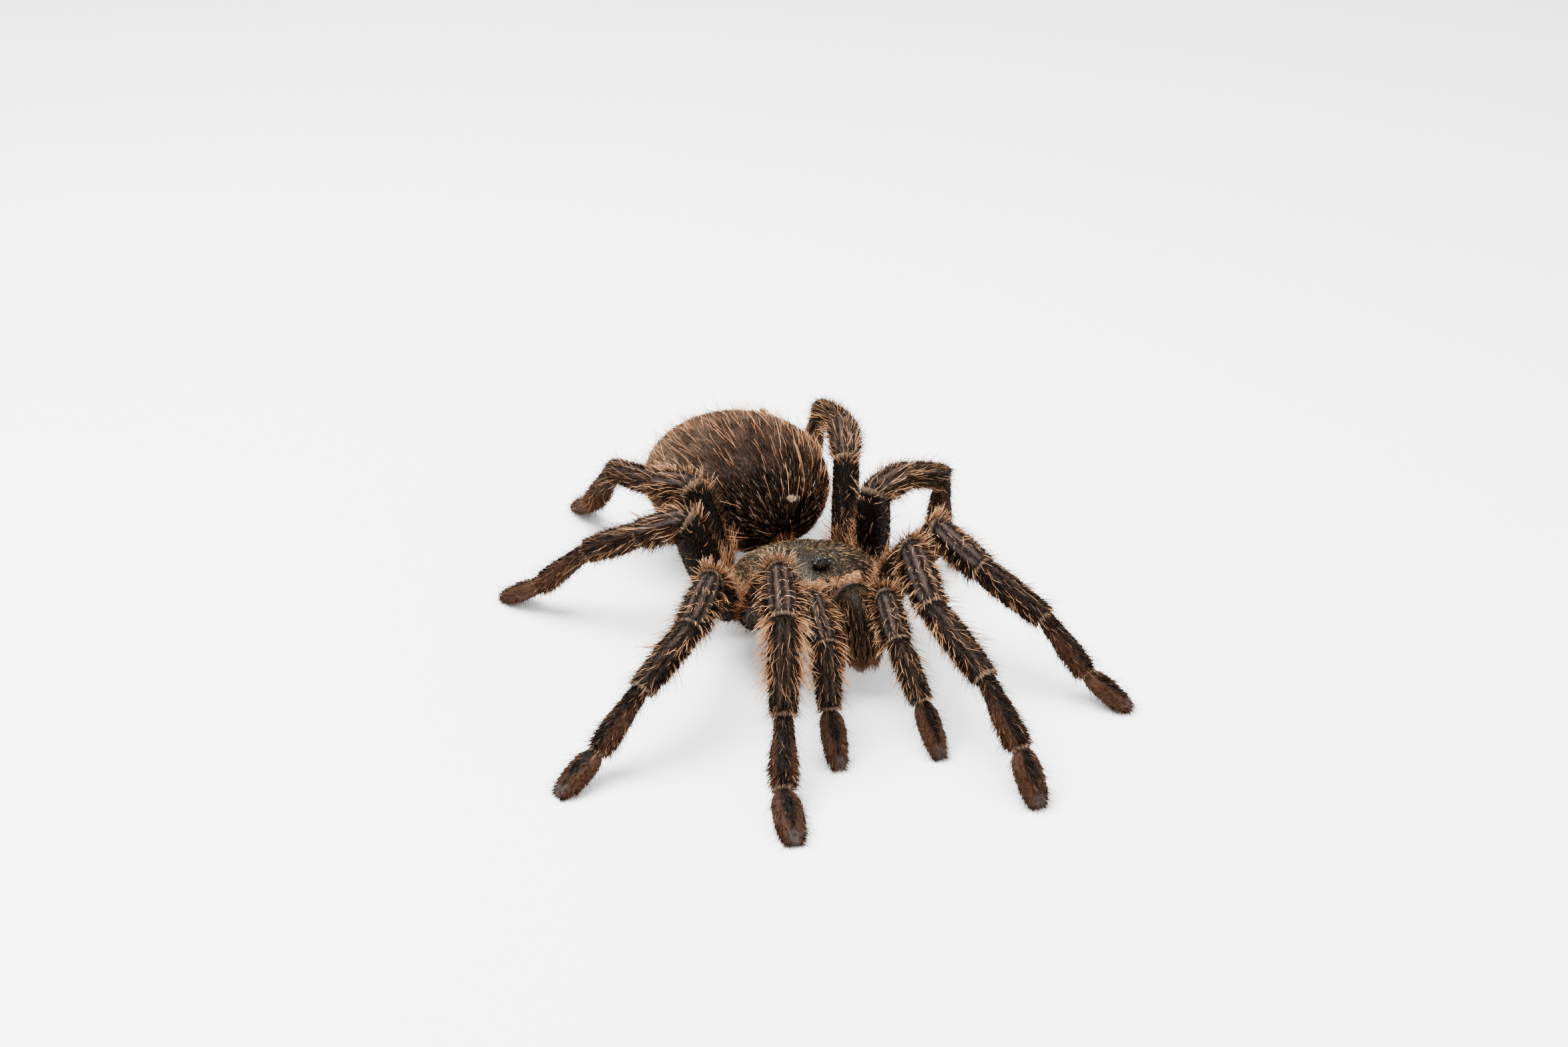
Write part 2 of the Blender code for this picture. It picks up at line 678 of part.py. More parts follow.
def make_eyes(carapace, collection, cutters, prosoma):
    """The mound on the carapace and four pairs of eyes, each a bead sunk in it."""
    bm = bmesh.new()
    bmesh.ops.create_uvsphere(bm, u_segments=14, v_segments=8, radius=1.0)
    bmesh.ops.scale(bm, vec=MOUND_HALF, verts=bm.verts)
    bmesh.ops.translate(bm, vec=MOUND_CENTRE, verts=bm.verts)
    mound = add_object("eye_mound", bm, collection)
    boolean(mound, "DIFFERENCE", [grown_copy(carapace, GAP, cutters)])
    for side, hand in (("left", 1.0), ("right", -1.0)):
        for name, (beside, ahead, radius) in EYES.items():
            x = hand * beside * MOUND_HALF[0]
            y = ahead * MOUND_HALF[1]
            inside = 1.0 - (x / MOUND_HALF[0]) ** 2 - (y / MOUND_HALF[1]) ** 2
            z = MOUND_HALF[2] * math.sqrt(max(inside, 0.05))
            centre = MOUND_CENTRE + Vector((x, y, z)) * EYE_SINK
            bm = bmesh.new()
            bmesh.ops.create_icosphere(bm, subdivisions=2, radius=radius)
            bmesh.ops.translate(bm, verts=bm.verts, vec=centre)
            eye = add_object("eye_" + name + "_" + side, bm, collection)
            boolean(eye, "DIFFERENCE", [grown_copy(mound, EYE_GAP, cutters)])
            finish(eye, "eye", centre, prosoma)
    finish(mound, "mound", MOUND_CENTRE, prosoma)


def make_fang(side, hand, chelicera, collection, cutters, prosoma):
    """One folded fang, clear of its chelicera."""
    fang = add_object("fang_" + side, line_loft(FANG_LINE, hand, 8), collection)
    boolean(fang, "DIFFERENCE", [grown_copy(chelicera, GAP, cutters)])
    finish(fang, "fang", line_points(FANG_LINE, hand, Matrix())[0], prosoma)


def make_spinneret(side, hand, abdomen, collection, cutters, rear):
    """One long spinneret, clear of the abdomen."""
    spinneret = add_object("spinneret_" + side, line_loft(SPINNERET_LINE, hand, 8), collection)
    boolean(spinneret, "DIFFERENCE", [grown_copy(abdomen, GAP, cutters)])
    finish(spinneret, "spinneret", line_points(SPINNERET_LINE, hand, Matrix())[0], rear)


def make_pedicel(tilt, turn, placed, collection, cutters, spider):
    """The narrow waist between the two halves of the body, clear of both."""
    start = tilt @ Vector((0, STERNUM_HALF[1] - 2.0, -1.4))
    end = turn @ Vector((0, -ABDOMEN_HALF[1] + 2.0, -4.0))
    along = (end - start).normalized()
    across = Vector((1, 0, 0))
    across = (across - along * across.dot(along)).normalized()
    up = across.cross(along)
    rings = [ring(point, across, up, PEDICEL_RADIUS, PEDICEL_RADIUS, 10) for point in (start, end)]
    pedicel = add_object("pedicel", loft(rings), collection)
    boolean(pedicel, "DIFFERENCE", [grown_copy(other, GAP, cutters) for other in placed])
    finish(pedicel, "sternum", start, spider)


def make_abdomen(collection):
    """The egg-shaped abdomen, in its own frame."""
    bm = bmesh.new()
    bmesh.ops.create_uvsphere(bm, u_segments=22, v_segments=14, radius=1.0)
    for vert in bm.verts:
        vert.co = abdomen_point(vert.co)
    return add_object("abdomen", bm, collection)


def abdomen_point(unit):
    """The point of the abdomen's surface for a point of a unit sphere."""
    x, y, z = unit
    wide = 1.0 + ABDOMEN_WIDENING[0] * y + ABDOMEN_WIDENING[1] * y * y
    low = ABDOMEN_BELLY if z < 0 else 1.0
    return Vector((x * wide * ABDOMEN_HALF[0], y * ABDOMEN_HALF[1], z * low * ABDOMEN_HALF[2]))


def fill_room(limbs, tilt, turn):
    """The thick lines of the bare model: bones, chelicerae, fangs, carapace, abdomen and spinnerets."""
    room = Room()
    for limb in limbs:
        for part, first, last in limb.pieces():
            for index in range(first, last + 1):
                radius = max(BONE_HALF[limb.bones[index]]) * limb.scale * LIMB_ROOM
                room.add(limb.name + "_" + part, limb.joints[index], limb.joints[index + 1], radius)
    tables = [("chelicera", CHELICERA_LINE, tilt), ("fang", FANG_LINE, tilt)]
    tables.append(("spinneret", SPINNERET_LINE, turn))
    for side, hand in (("left", 1.0), ("right", -1.0)):
        for name, table, placing in tables:
            line = line_points(table, hand, placing)
            for row, start, end in zip(table, line, line[1:]):
                room.add(name + "_" + side, start, end, max(row[3:]))
    for beside, along, radius in CARAPACE_ROOM:
        spot = tilt @ Vector((beside, along, CARAPACE_RIM - 1.5))
        room.add("carapace", spot, spot + Vector((0.0, 2.0, 0.0)), radius)
    for beside, front, rear, radius in ABDOMEN_ROOM:
        room.add("abdomen", turn @ Vector((beside, front, -1.0)), turn @ Vector((beside, rear, -1.0)), radius)
    return room


def add_frame(name, collection, parent, place, turned):
    """An empty that holds a part of the body, and its placing in the spider's frame."""
    frame = bpy.data.objects.new(name, None)
    collection.objects.link(frame)
    frame.parent = parent
    frame.location = place * MM
    frame.rotation_euler = turned
    return frame, Matrix.Translation(place) @ turned.to_matrix().to_4x4()


def main():
    clear_scene()
    collection = new_collection("salmon_pink_birdeater")
    cutters = new_collection("cutters")
    spider = add_frame("spider", collection, None, -CENTRE, Euler())[0]
    nose_up = Euler((-math.radians(BODY_PITCH), 0.0, 0.0))
    prosoma, tilt = add_frame("prosoma", collection, spider, Vector((0.0, 0.0, BODY_HEIGHT)), nose_up)
    sideways = Euler((0.0, 0.0, math.radians(ABDOMEN_TURN)))
    rear, turn = add_frame("opisthosoma", collection, spider, ABDOMEN_CENTRE, sideways)
    sides = (("left", 1.0), ("right", -1.0))

    carapace = make_carapace(collection)
    sternum = make_sternum(collection)
    abdomen = make_abdomen(collection)
    chelicerae = [make_chelicera(side, hand, collection) for side, hand in sides]
    middle = [sternum, carapace, *chelicerae]
    placed = [add_object(piece.name + "_in_place", copy_of(piece, tilt), cutters) for piece in middle]

    limbs = [Limb(kind, side, tilt) for kind, side in POSE]
    draw = random.Random(SEED)
    room = fill_room(limbs, tilt, turn)
    coxae = []
    for limb in limbs:
        beside = [coxa for coxa in coxae if limb.name.split("_")[-1] in coxa.name]
        coxae.append(make_limb(limb, placed + beside[-1:], room, draw, collection, cutters, spider))

    make_eyes(carapace, collection, cutters, prosoma)
    for (side, hand), chelicera in zip(sides, chelicerae):
        make_fang(side, hand, chelicera, collection, cutters, prosoma)
        locks = chelicera_locks(side, hand, tilt, room, draw, cutters)
        for piece in locks:
            piece.data.transform(tilt.inverted())
        boolean(chelicera, "UNION", locks)
        finish(chelicera, "chelicera", line_points(CHELICERA_LINE, hand, Matrix())[0], prosoma)
        make_spinneret(side, hand, abdomen, collection, cutters, rear)

    placed.append(add_object("abdomen_in_place", copy_of(abdomen, turn), cutters))
    make_pedicel(tilt, turn, placed, collection, cutters, spider)
    for other in placed + coxae:
        bpy.data.objects.remove(other, do_unlink=True)

    locks = abdomen_locks(turn, room, draw, cutters)
    for piece in locks:
        piece.data.transform(turn.inverted())
    boolean(abdomen, "UNION", locks)
    finish(carapace, "carapace", Vector((0, 0, CARAPACE_RIM)), prosoma)
    finish(sternum, "sternum", Vector((0, 0, 0)), prosoma)
    finish(abdomen, "abdomen", Vector((0, 0, 0)), rear)


main()
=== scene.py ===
import math

import bmesh
import bpy
import numpy as np
from mathutils import Matrix, Vector


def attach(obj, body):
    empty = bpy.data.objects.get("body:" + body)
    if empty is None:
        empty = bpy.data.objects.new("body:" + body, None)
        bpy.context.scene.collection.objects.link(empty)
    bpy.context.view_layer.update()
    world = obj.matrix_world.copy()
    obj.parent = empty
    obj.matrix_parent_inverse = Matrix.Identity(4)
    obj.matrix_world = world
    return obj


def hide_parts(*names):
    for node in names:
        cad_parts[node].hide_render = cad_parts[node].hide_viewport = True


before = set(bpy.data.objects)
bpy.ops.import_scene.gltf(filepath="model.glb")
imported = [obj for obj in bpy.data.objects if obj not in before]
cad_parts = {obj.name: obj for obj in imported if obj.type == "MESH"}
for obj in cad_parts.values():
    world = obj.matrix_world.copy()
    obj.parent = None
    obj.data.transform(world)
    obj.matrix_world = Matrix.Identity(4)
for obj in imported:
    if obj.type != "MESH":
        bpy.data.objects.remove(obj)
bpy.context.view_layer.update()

# Studio floor, light and camera
# The spider stands on a white sweep under one wide soft lamp, with a fill from the other side.
# The camera looks down at it from in front and to its right.
MM = 0.001
HOME = Vector((5.5, -0.4, 0.0))
CAMERA_TARGET = HOME + Vector((3.8, 25.3, 15.0))
CAMERA_AZIMUTH = math.radians(-19.3)
CAMERA_CLIMB = math.radians(28.3)
CAMERA_ROLL = math.radians(0.5)
CAMERA_DISTANCE = 475.4
CAMERA_LENS = 46.4
SENSOR = 36.0
FLOOR_WHITE = (0.95, 0.95, 0.95, 1.0)
SKY = (0.98, 0.985, 1.0, 1.0)
SKY_STRENGTH = 2.0
# Lamps: name, place, size and power
LAMPS = (("key", (-0.22, 0.10, 0.75), 0.55, 34.0), ("fill", (0.5, -0.45, 0.45), 0.7, 8.0))

back = Vector((math.sin(CAMERA_AZIMUTH) * math.cos(CAMERA_CLIMB),
               -math.cos(CAMERA_AZIMUTH) * math.cos(CAMERA_CLIMB), math.sin(CAMERA_CLIMB)))
right = Vector((math.cos(CAMERA_AZIMUTH), math.sin(CAMERA_AZIMUTH), 0.0))
camera_data = bpy.data.cameras.new("camera")
camera_data.lens = CAMERA_LENS
camera_data.sensor_width = SENSOR
camera_data.clip_start = 0.01
camera = bpy.data.objects.new("camera", camera_data)
bpy.context.scene.collection.objects.link(camera)
camera_turn = Matrix((right, back.cross(right), back)).transposed().to_4x4()
camera_spot = Matrix.Translation((CAMERA_TARGET + back * CAMERA_DISTANCE) * MM)
camera.matrix_world = camera_spot @ camera_turn @ Matrix.Rotation(CAMERA_ROLL, 4, "Z")
bpy.context.scene.camera = camera

bm = bmesh.new()
bmesh.ops.create_grid(bm, x_segments=1, y_segments=1, size=3.0)
floor_mesh = bpy.data.meshes.new("floor")
bm.to_mesh(floor_mesh)
bm.free()
floor = bpy.data.objects.new("floor", floor_mesh)
bpy.context.scene.collection.objects.link(floor)
floor_finish = bpy.data.materials.new("floor_white")
floor_finish.use_nodes = True
floor_shader = floor_finish.node_tree.nodes["Principled BSDF"]
floor_shader.inputs["Base Color"].default_value = FLOOR_WHITE
floor_shader.inputs["Roughness"].default_value = 0.6
floor_mesh.materials.append(floor_finish)

world = bpy.data.worlds.new("studio")
bpy.context.scene.world = world
world.use_nodes = True
sky = world.node_tree.nodes["Background"]
sky.inputs["Color"].default_value = SKY
sky.inputs["Strength"].default_value = SKY_STRENGTH
for name, spot, size, energy in LAMPS:
    lamp = bpy.data.lights.new(name, "AREA")
    lamp.size = size
    lamp.energy = energy
    lamp_object = bpy.data.objects.new(name, lamp)
    lamp_object.location = spot
    lamp_object.rotation_euler = (-Vector(spot)).to_track_quat("-Z", "Y").to_euler()
    bpy.context.scene.collection.objects.link(lamp_object)


# Legs and palps: the skin
# Eight legs and two shorter palps, each one unbroken skin of thin horny tube over its joints.
# Each bone narrows at its joints and is drawn through ovals that turn with the bend.
ROOTS = {
    "palp": (10.9, -16.3, -2.0),
    "leg_1": (15.7, -10.5, -1.4),
    "leg_2": (18.7, -2.7, -1.4),
    "leg_3": (18.8, 6.4, -1.4),
    "leg_4": (14.8, 14.6, -1.2),
}
HIPS = {
    "palp": (3.0, -7.4, -1.9),
    "leg_1": (5.0, -6.0, -1.9),
    "leg_2": (5.8, -2.0, -1.9),
    "leg_3": (5.8, 2.2, -1.9),
    "leg_4": (4.8, 6.2, -1.9),
}
LENGTHS = {
    "palp": (17.0, 10.6, 13.4, 12.3),
    "leg_1": (24.2, 15.2, 19.4, 16.2, 12.0),
    "leg_2": (22.4, 13.7, 16.7, 15.5, 11.8),
    "leg_3": (20.0, 12.2, 14.3, 16.8, 12.0),
    "leg_4": (24.2, 13.5, 19.6, 23.8, 12.4),
}
THICKNESS = {"palp": 0.86, "leg_1": 1.0, "leg_2": 0.98, "leg_3": 1.0, "leg_4": 0.98}
# Heading from the front towards the limb's own side, and climb, of each bone
# The last bone has a heading alone, since it comes down to the floor
POSE = {
    ("palp", "left"): ((-14, 34), (-7, -23), (15, -49), (12,)),
    ("palp", "right"): ((-10, 42), (3, -26), (12, -56), (3,)),
    ("leg_1", "left"): ((-4, 50), (-4, -22), (16, -24), (11, -36), (8,)),
    ("leg_1", "right"): ((-2, 49), (16, -6), (18, -61), (19, -31), (7,)),
    ("leg_2", "left"): ((32, 51), (20, -15), (48, -31), (43, -46), (45,)),
    ("leg_2", "right"): ((32, 42), (35, -14), (59, -26), (72, -45), (63,)),
    ("leg_3", "left"): ((106, 91), (127, -3), (112, -18), (136, -96), (104,)),
    ("leg_3", "right"): ((108, 70), (128, -25), (126, -27), (124, -42), (139,)),
    ("leg_4", "left"): ((159, 63), (163, 10), (176, -14), (179, -62), (178,)),
    ("leg_4", "right"): ((127, 72), (160, -19), (162, -12), (175, -46), (172,)),
}
TIP_HEIGHT = 0.3
BODY_HEIGHT = 13.2
BODY_PITCH = math.radians(12.0)
tilt = Matrix.Translation(HOME + Vector((0, 0, BODY_HEIGHT))) @ Matrix.Rotation(-BODY_PITCH, 4, "X")
# Half width and half depth of each bone under its fur, and its outline as place, width and depth
BONE_HALF = {
    "coxa": (3.25, 3.05),
    "femur": (3.2, 3.95),
    "patella": (3.15, 3.3),
    "tibia": (2.85, 2.95),
    "metatarsus": (2.5, 2.3),
    "tarsus": (2.8, 2.0),
}
BONE_OUTLINE = {
    "coxa": ((0.0, 0.62, 0.86), (0.45, 0.88, 0.98), (0.8, 1.05, 1.02), (0.95, 1.0, 0.98), (1.0, 0.9, 0.9)),
    "femur": ((0.0, 0.86, 0.84), (0.08, 0.95, 0.94), (0.3, 0.98, 1.0), (0.6, 1.0, 1.03), (0.85, 0.95, 0.95),
              (0.95, 0.93, 0.91), (0.985, 0.90, 0.88), (1.0, 0.80, 0.80)),
    "patella": ((0.0, 0.82, 0.84), (0.08, 0.92, 0.94), (0.35, 1.0, 1.03), (0.75, 1.0, 1.0), (0.93, 0.95, 0.95),
                (0.975, 0.92, 0.92), (1.0, 0.82, 0.82)),
    "tibia": ((0.0, 0.86, 0.86), (0.07, 0.97, 0.97), (0.4, 1.02, 1.02), (0.8, 0.95, 0.94), (0.94, 0.91, 0.90),
              (0.98, 0.88, 0.87), (1.0, 0.70, 0.70)),
    "metatarsus": ((0.0, 0.66, 0.70), (0.08, 0.78, 0.82), (0.25, 0.82, 0.86), (0.42, 1.0, 0.98),
                   (0.65, 1.08, 1.04), (0.88, 1.02, 0.96), (0.96, 0.84, 0.82), (1.0, 0.56, 0.60)),
    "tarsus": ((0.0, 0.54, 0.60), (0.05, 0.76, 0.80), (0.18, 1.04, 0.98), (0.42, 1.12, 1.02), (0.7, 1.02, 0.92),
               (0.88, 0.78, 0.72), (0.96, 0.58, 0.54), (1.0, 0.40, 0.36)),
}
BEND_REACH = 0.2
RING_SIDES = 20
PLACES = (0.0, 0.02, 0.05, 0.10, 0.17, 0.26, 0.38, 0.5, 0.62, 0.74, 0.83, 0.90, 0.945, 0.975, 0.99)
BLACK = np.array((0.0020, 0.0013, 0.0010))
BROWN = np.array((0.0110, 0.0060, 0.0038))
RUST = np.array((0.0280, 0.0122, 0.0066))
BARE = np.array((0.0360, 0.0225, 0.0170))
ASH = np.array((0.0400, 0.0290, 0.0260))
CREAM = np.array((0.2600, 0.1700, 0.1080))
SALMON = np.array((0.3400, 0.1640, 0.0750))
PALE_TIP = np.array((0.6500, 0.4000, 0.2080))
ORANGE = np.array((0.3300, 0.1180, 0.0480))


def smooth(value, low, high):
    """A soft step from 0 at low to 1 at high."""
    place = np.clip((value - low) / (high - low), 0.0, 1.0)
    return place * place * (3.0 - 2.0 * place)


def mix(first, second, share):
    """One colour turning into another."""
    return first + (second - first) * np.asarray(share)[..., None]


def unit_length(ways):
    """Directions brought to a length of 1."""
    return ways / np.maximum(np.linalg.norm(ways, axis=1)[:, None], 1e-9)


def read_ovals(table, place):
    """Centre, along, across, up, half width and half depth at places along a table of ovals."""
    read = np.stack([np.interp(place, table[:, 0], column) for column in table.T[1:]], axis=1)
    return (*(read[:, start:start + 3] for start in (0, 3, 6, 9)), read[:, 12:13], read[:, 13:14])


def round_ovals(table, place, turn):
    """Points round a table of ovals, the way out of them and the way along."""
    centre, along, across, up, wide, deep = read_ovals(table, place)
    beside, above = across * np.cos(turn)[:, None], up * np.sin(turn)[:, None]
    return centre + beside * wide + above * deep, unit_length(beside / wide + above / deep), unit_length(along)


class Limb:
    """A leg or palp: a table of ovals from hip to claw that can be read at any place along it."""

    def __init__(self, kind, side):
        self.name = kind + "_" + side
        self.kind = kind
        self.hand = 1.0 if side == "left" else -1.0
        self.bones = ["coxa", "femur", "patella", "tibia", "metatarsus", "tarsus"]
        if kind == "palp":
            self.bones.remove("metatarsus")
        self.scale = THICKNESS[kind]
        mirror = Vector((self.hand, 1.0, 1.0))
        hip, root = tilt @ (Vector(HIPS[kind]) * mirror), tilt @ (Vector(ROOTS[kind]) * mirror)
        run = (root - hip).normalized()
        joints = [hip, root]
        frames = [self.directions(math.atan2(self.hand * run.x, -run.y), math.asin(run.z))]
        for length, bearing in zip(LENGTHS[kind], POSE[kind, side]):
            fall = max(-1.0, (TIP_HEIGHT - joints[-1].z) / length)
            climb = math.radians(bearing[1]) if len(bearing) == 2 else math.asin(fall)
            frames.append(self.directions(math.radians(bearing[0]), climb))
            joints.append(joints[-1] + frames[-1][0] * length)
        self.lengths = [(second - first).length for first, second in zip(joints, joints[1:])]
        rows = []
        for index, bone in enumerate(self.bones):
            outline = np.array(BONE_OUTLINE[bone])
            for place in PLACES + ((1.0,) if index == len(self.bones) - 1 else ()):
                blend = list(frames[index])
                for neighbour, away in ((index - 1, place), (index + 1, 1.0 - place)):
                    if away < BEND_REACH and 0 <= neighbour < len(frames):
                        share = 0.5 * (1.0 - away / BEND_REACH)
                        blend = [mine.lerp(other, share) for mine, other in zip(blend, frames[neighbour])]
                along = blend[0].normalized()
                across = (blend[1] - along * blend[1].dot(along)).normalized()
                up = (blend[2] - along * blend[2].dot(along) - across * blend[2].dot(across)).normalized()
                centre = joints[index].lerp(joints[index + 1], place)
                wide = np.interp(place, outline[:, 0], outline[:, 1]) * BONE_HALF[bone][0] * self.scale
                deep = np.interp(place, outline[:, 0], outline[:, 2]) * BONE_HALF[bone][1] * self.scale
                rows.append((index + place, *centre, *along, *across, *up, wide, deep))
        self.table = np.array(rows)

    def directions(self, heading, climb):
        """Directions along, across and up from a bone of a heading and a climb."""
        along = Vector((self.hand * math.sin(heading) * math.cos(climb),
                        -math.cos(heading) * math.cos(climb), math.sin(climb)))
        across = Vector((self.hand * math.cos(heading), math.sin(heading), 0.0))
        up = Vector((-self.hand * math.sin(heading) * math.sin(climb),
                     math.cos(heading) * math.sin(climb), math.cos(climb)))
        return along, across, up

    def flat(self, place, turn):
        """The skin laid flat: round it across, along it upwards."""
        starts = np.concatenate([[0.0], np.cumsum(self.lengths)]) / sum(self.lengths)
        return np.stack([(turn / math.tau) % 1.0, np.interp(place, np.arange(len(starts)), starts)], axis=1)

    def scatter(self, draw, densities, last=1.0):
        """Even random spots on bones, so many to a square millimetre of each, as far as a share of it."""
        places, turns = [], []
        for bone, density in densities:
            index = self.bones.index(bone)
            half = sum(BONE_HALF[bone]) / 2 * self.scale
            count = int(density * math.tau * half * self.lengths[index] * last)
            places.append(index + draw.uniform(0.0, last, count))
            turns.append(draw.uniform(0.0, math.tau, count))
        return np.concatenate(places), np.concatenate(turns)

    def parts(self, place, turn):
        """Name of the bone, share of it passed and degrees off the top line, at places of the skin."""
        index = np.minimum(place.astype(int), len(self.bones) - 1)
        off = np.abs((np.degrees(turn) - 90.0 + 180.0) % 360.0 - 180.0)
        return np.array(self.bones)[index], place - index, off

    def bulk(self, place, turn):
        """How far the fur stands off: most beside the knees and the far half of the metatarsus."""
        bone, part, off = self.parts(place, turn)
        share = np.select([bone == "patella", bone == "tibia", bone == "metatarsus"],
                          [1.0, 0.35, 0.6 * smooth(part, 0.3, 0.7)], 0.0)
        return share * smooth(off, 30.0, 75.0) * smooth(part, 0.0, 0.14) * (1 - smooth(part, 0.84, 1.0))

    def markings(self, place, turn):
        """Colours of the skin and short fur, and how bare the skin is."""
        bone, part, off = self.parts(place, turn)
        colour = np.where((bone == "femur")[:, None], mix(BLACK, BROWN, smooth(off, 100.0, 150.0)), BROWN)
        knee, shin = bone == "patella", bone == "tibia"
        reach = smooth(part, 0.02, 0.10) * (1 - smooth(part, 0.88, 0.95))
        inner = reach * (1 - smooth(np.abs(off - 21.0), 5.0, 9.0))
        outer = reach * (1 - smooth(np.abs(off - 58.0), 7.0, 13.0))
        colour = mix(colour, BLACK, 0.9 * (knee | shin) * (1 - smooth(off, 75.0, 120.0)))
        colour = mix(colour, BARE, inner * np.where(knee, 1.0, 0.45 * shin))
        colour = mix(colour, ASH, outer * np.where(knee, 0.9, 0.25 * shin))
        bare = np.maximum(inner * np.where(knee, 1.0, 0.6 * shin), outer * np.where(knee, 0.8, 0.3 * shin))
        velvet = np.isin(bone, ("metatarsus", "tarsus"))
        line = np.where(bone == "tarsus", 24.0 * (1 - 0.8 * smooth(part, 0.35, 0.75)), 34.0)
        red = np.where(bone == "metatarsus", 0.25 + 0.75 * smooth(part, 0.2, 0.5), 1.0)
        side = smooth(off, line - 8.0, line + 12.0) * red
        colour = np.where(velvet[:, None], mix(BLACK, RUST, side), colour)
        pad = (bone == "tarsus") * smooth(part, 0.74, 0.84) * (1 - smooth(off, 25.0, 60.0))
        colour = mix(colour, ASH, 0.8 * pad)
        hoop = smooth(part, 0.945, 0.96) * (1 - smooth(part, 0.985, 0.998)) * (1 - smooth(off, 100.0, 140.0))
        hoop = hoop * ~np.isin(bone, ("coxa", "tarsus")) * (0.7 + 0.3 * np.sin(11.0 * turn + 7.0 * place))
        return mix(colour, CREAM, 0.38 * hoop), bare


class Paint:
    """A socket whose arithmetic adds Math nodes to its material."""

    def __init__(self, finish, socket):
        self.finish = finish
        self.socket = socket

    def maths(self, operation, other):
        """One Math node on this value and another."""
        return self.finish.add("Math", {"operation": operation}, {0: self, 1: other})

    def __add__(self, other):
        return self.maths("ADD", other)

    def __mul__(self, other):
        return self.maths("MULTIPLY", other)

    __radd__ = __add__
    __rmul__ = __mul__


class Finish:
    """A material: its Principled shader's own values, and one method that adds any other node."""

    def __init__(self, name, values):
        self.material = bpy.data.materials.new(name)
        self.material.use_nodes = True
        self.tree = self.material.node_tree
        self.shader = self.tree.nodes["Principled BSDF"]
        for socket, value in values.items():
            self.shader.inputs[socket].default_value = value

    def add(self, kind, settings, sockets, out=0):
        """Adds a node, sets it up, fills or links its sockets and returns one output."""
        node = self.tree.nodes.new("ShaderNode" + kind)
        for name, value in settings.items():
            setattr(node, name, value)
        for name, value in sockets.items():
            self.fill(node.inputs[name], value)
        return Paint(self, node.outputs[out])

    def fill(self, socket, value):
        """Links a socket to what feeds it, or sets its value."""
        if isinstance(value, Paint):
            self.tree.links.new(value.socket, socket)
        else:
            socket.default_value = value

    def feed(self, socket, value):
        """Feeds one of the shader's own sockets."""
        self.fill(self.shader.inputs[socket], value)

    def noise(self, scale, detail=3.0, rough=0.55):
        """Noise on the object's own coordinates."""
        place = self.add("TexCoord", {}, {}, "Object")
        return self.add("TexNoise", {}, {"Vector": place, "Scale": scale, "Detail": detail, "Roughness": rough})

    def tinted(self, colour, strength, amount):
        """A colour made lighter and darker by a value, 0.5 leaving it as it is."""
        shade = strength * (2.0 * amount) + (1.0 - amount)
        grey = self.add("CombineColor", {}, {"Red": shade, "Green": shade, "Blue": shade})
        mixed = {"data_type": "RGBA", "blend_type": "MULTIPLY"}
        return self.add("Mix", mixed, {"Factor": 1.0, 6: colour, 7: grey}, 2)


def skin_finish(name, roughness, shine, grain, bump):
    """A horny skin in its markings, mottled, with a fine grain that catches the light."""
    finish = Finish(name, {"Roughness": roughness, "Specular IOR Level": shine})
    colour = finish.add("Attribute", {"attribute_name": "marking"}, {}, "Color")
    mottle = finish.noise(grain)
    finish.feed("Base Color", finish.tinted(colour, mottle, 0.45))
    fine = finish.noise(grain * 4.0, 4.0)
    finish.feed("Normal", finish.add("Bump", {}, {"Strength": bump, "Distance": 0.0002, "Height": fine}))
    return finish.material


def hair_finish(name, roughness, shine):
    """Hair: its own colour from root to tip, each a little lighter or darker than the next."""
    finish = Finish(name, {"Roughness": roughness, "Specular IOR Level": shine})
    colour = finish.add("Attribute", {"attribute_name": "strand"}, {}, "Color")
    finish.feed("Base Color", finish.tinted(colour, finish.noise(900.0, 2.0), 0.3))
    return finish.material


def place_piece(name, mesh, material):
    """Puts a finished mesh into the scene as a piece of the spider."""
    mesh.shade_smooth()
    mesh.materials.append(material)
    piece = bpy.data.objects.new(name, mesh)
    bpy.context.scene.collection.objects.link(piece)
    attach(piece, "root")
    return piece


def finish_mesh(name, bm, material, nodes, colours=None):
    """Turns a bmesh in millimetres into a piece in metres, in one colour or in one for each vertex."""
    bmesh.ops.recalc_face_normals(bm, faces=bm.faces)
    bmesh.ops.scale(bm, vec=(MM, MM, MM), verts=bm.verts)
    mesh = bpy.data.meshes.new(name)
    bm.to_mesh(mesh)
    bm.free()
    if colours is not None:
        shades = np.ones((len(mesh.vertices), 4))
        shades[:, :3] = colours
        layer = mesh.attributes.new("marking", "FLOAT_COLOR", "POINT")
        layer.data.foreach_set("color", shades.ravel())
    piece = place_piece(name, mesh, material)
    if nodes:
        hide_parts(*nodes)


def tube(bm, ovals, sides):
    """A closed tube through ovals: centre, along, across, up, half width and half depth of each."""
    rings = []
    for index, oval in enumerate(ovals):
        centre, along, across, up = (Vector(oval[start:start + 3]) for start in (0, 3, 6, 9))
        shape = Matrix((across * oval[12], up * oval[13], along)).transposed().to_4x4()
        made = bmesh.ops.create_circle(bm, cap_ends=index in (0, len(ovals) - 1), segments=sides, radius=1.0,
                                       matrix=Matrix.Translation(centre) @ shape)
        rings.append(list({edge for vert in made["verts"] for edge in vert.link_edges}))
    for first, second in zip(rings, rings[1:]):
        bmesh.ops.bridge_loops(bm, edges=first + second)


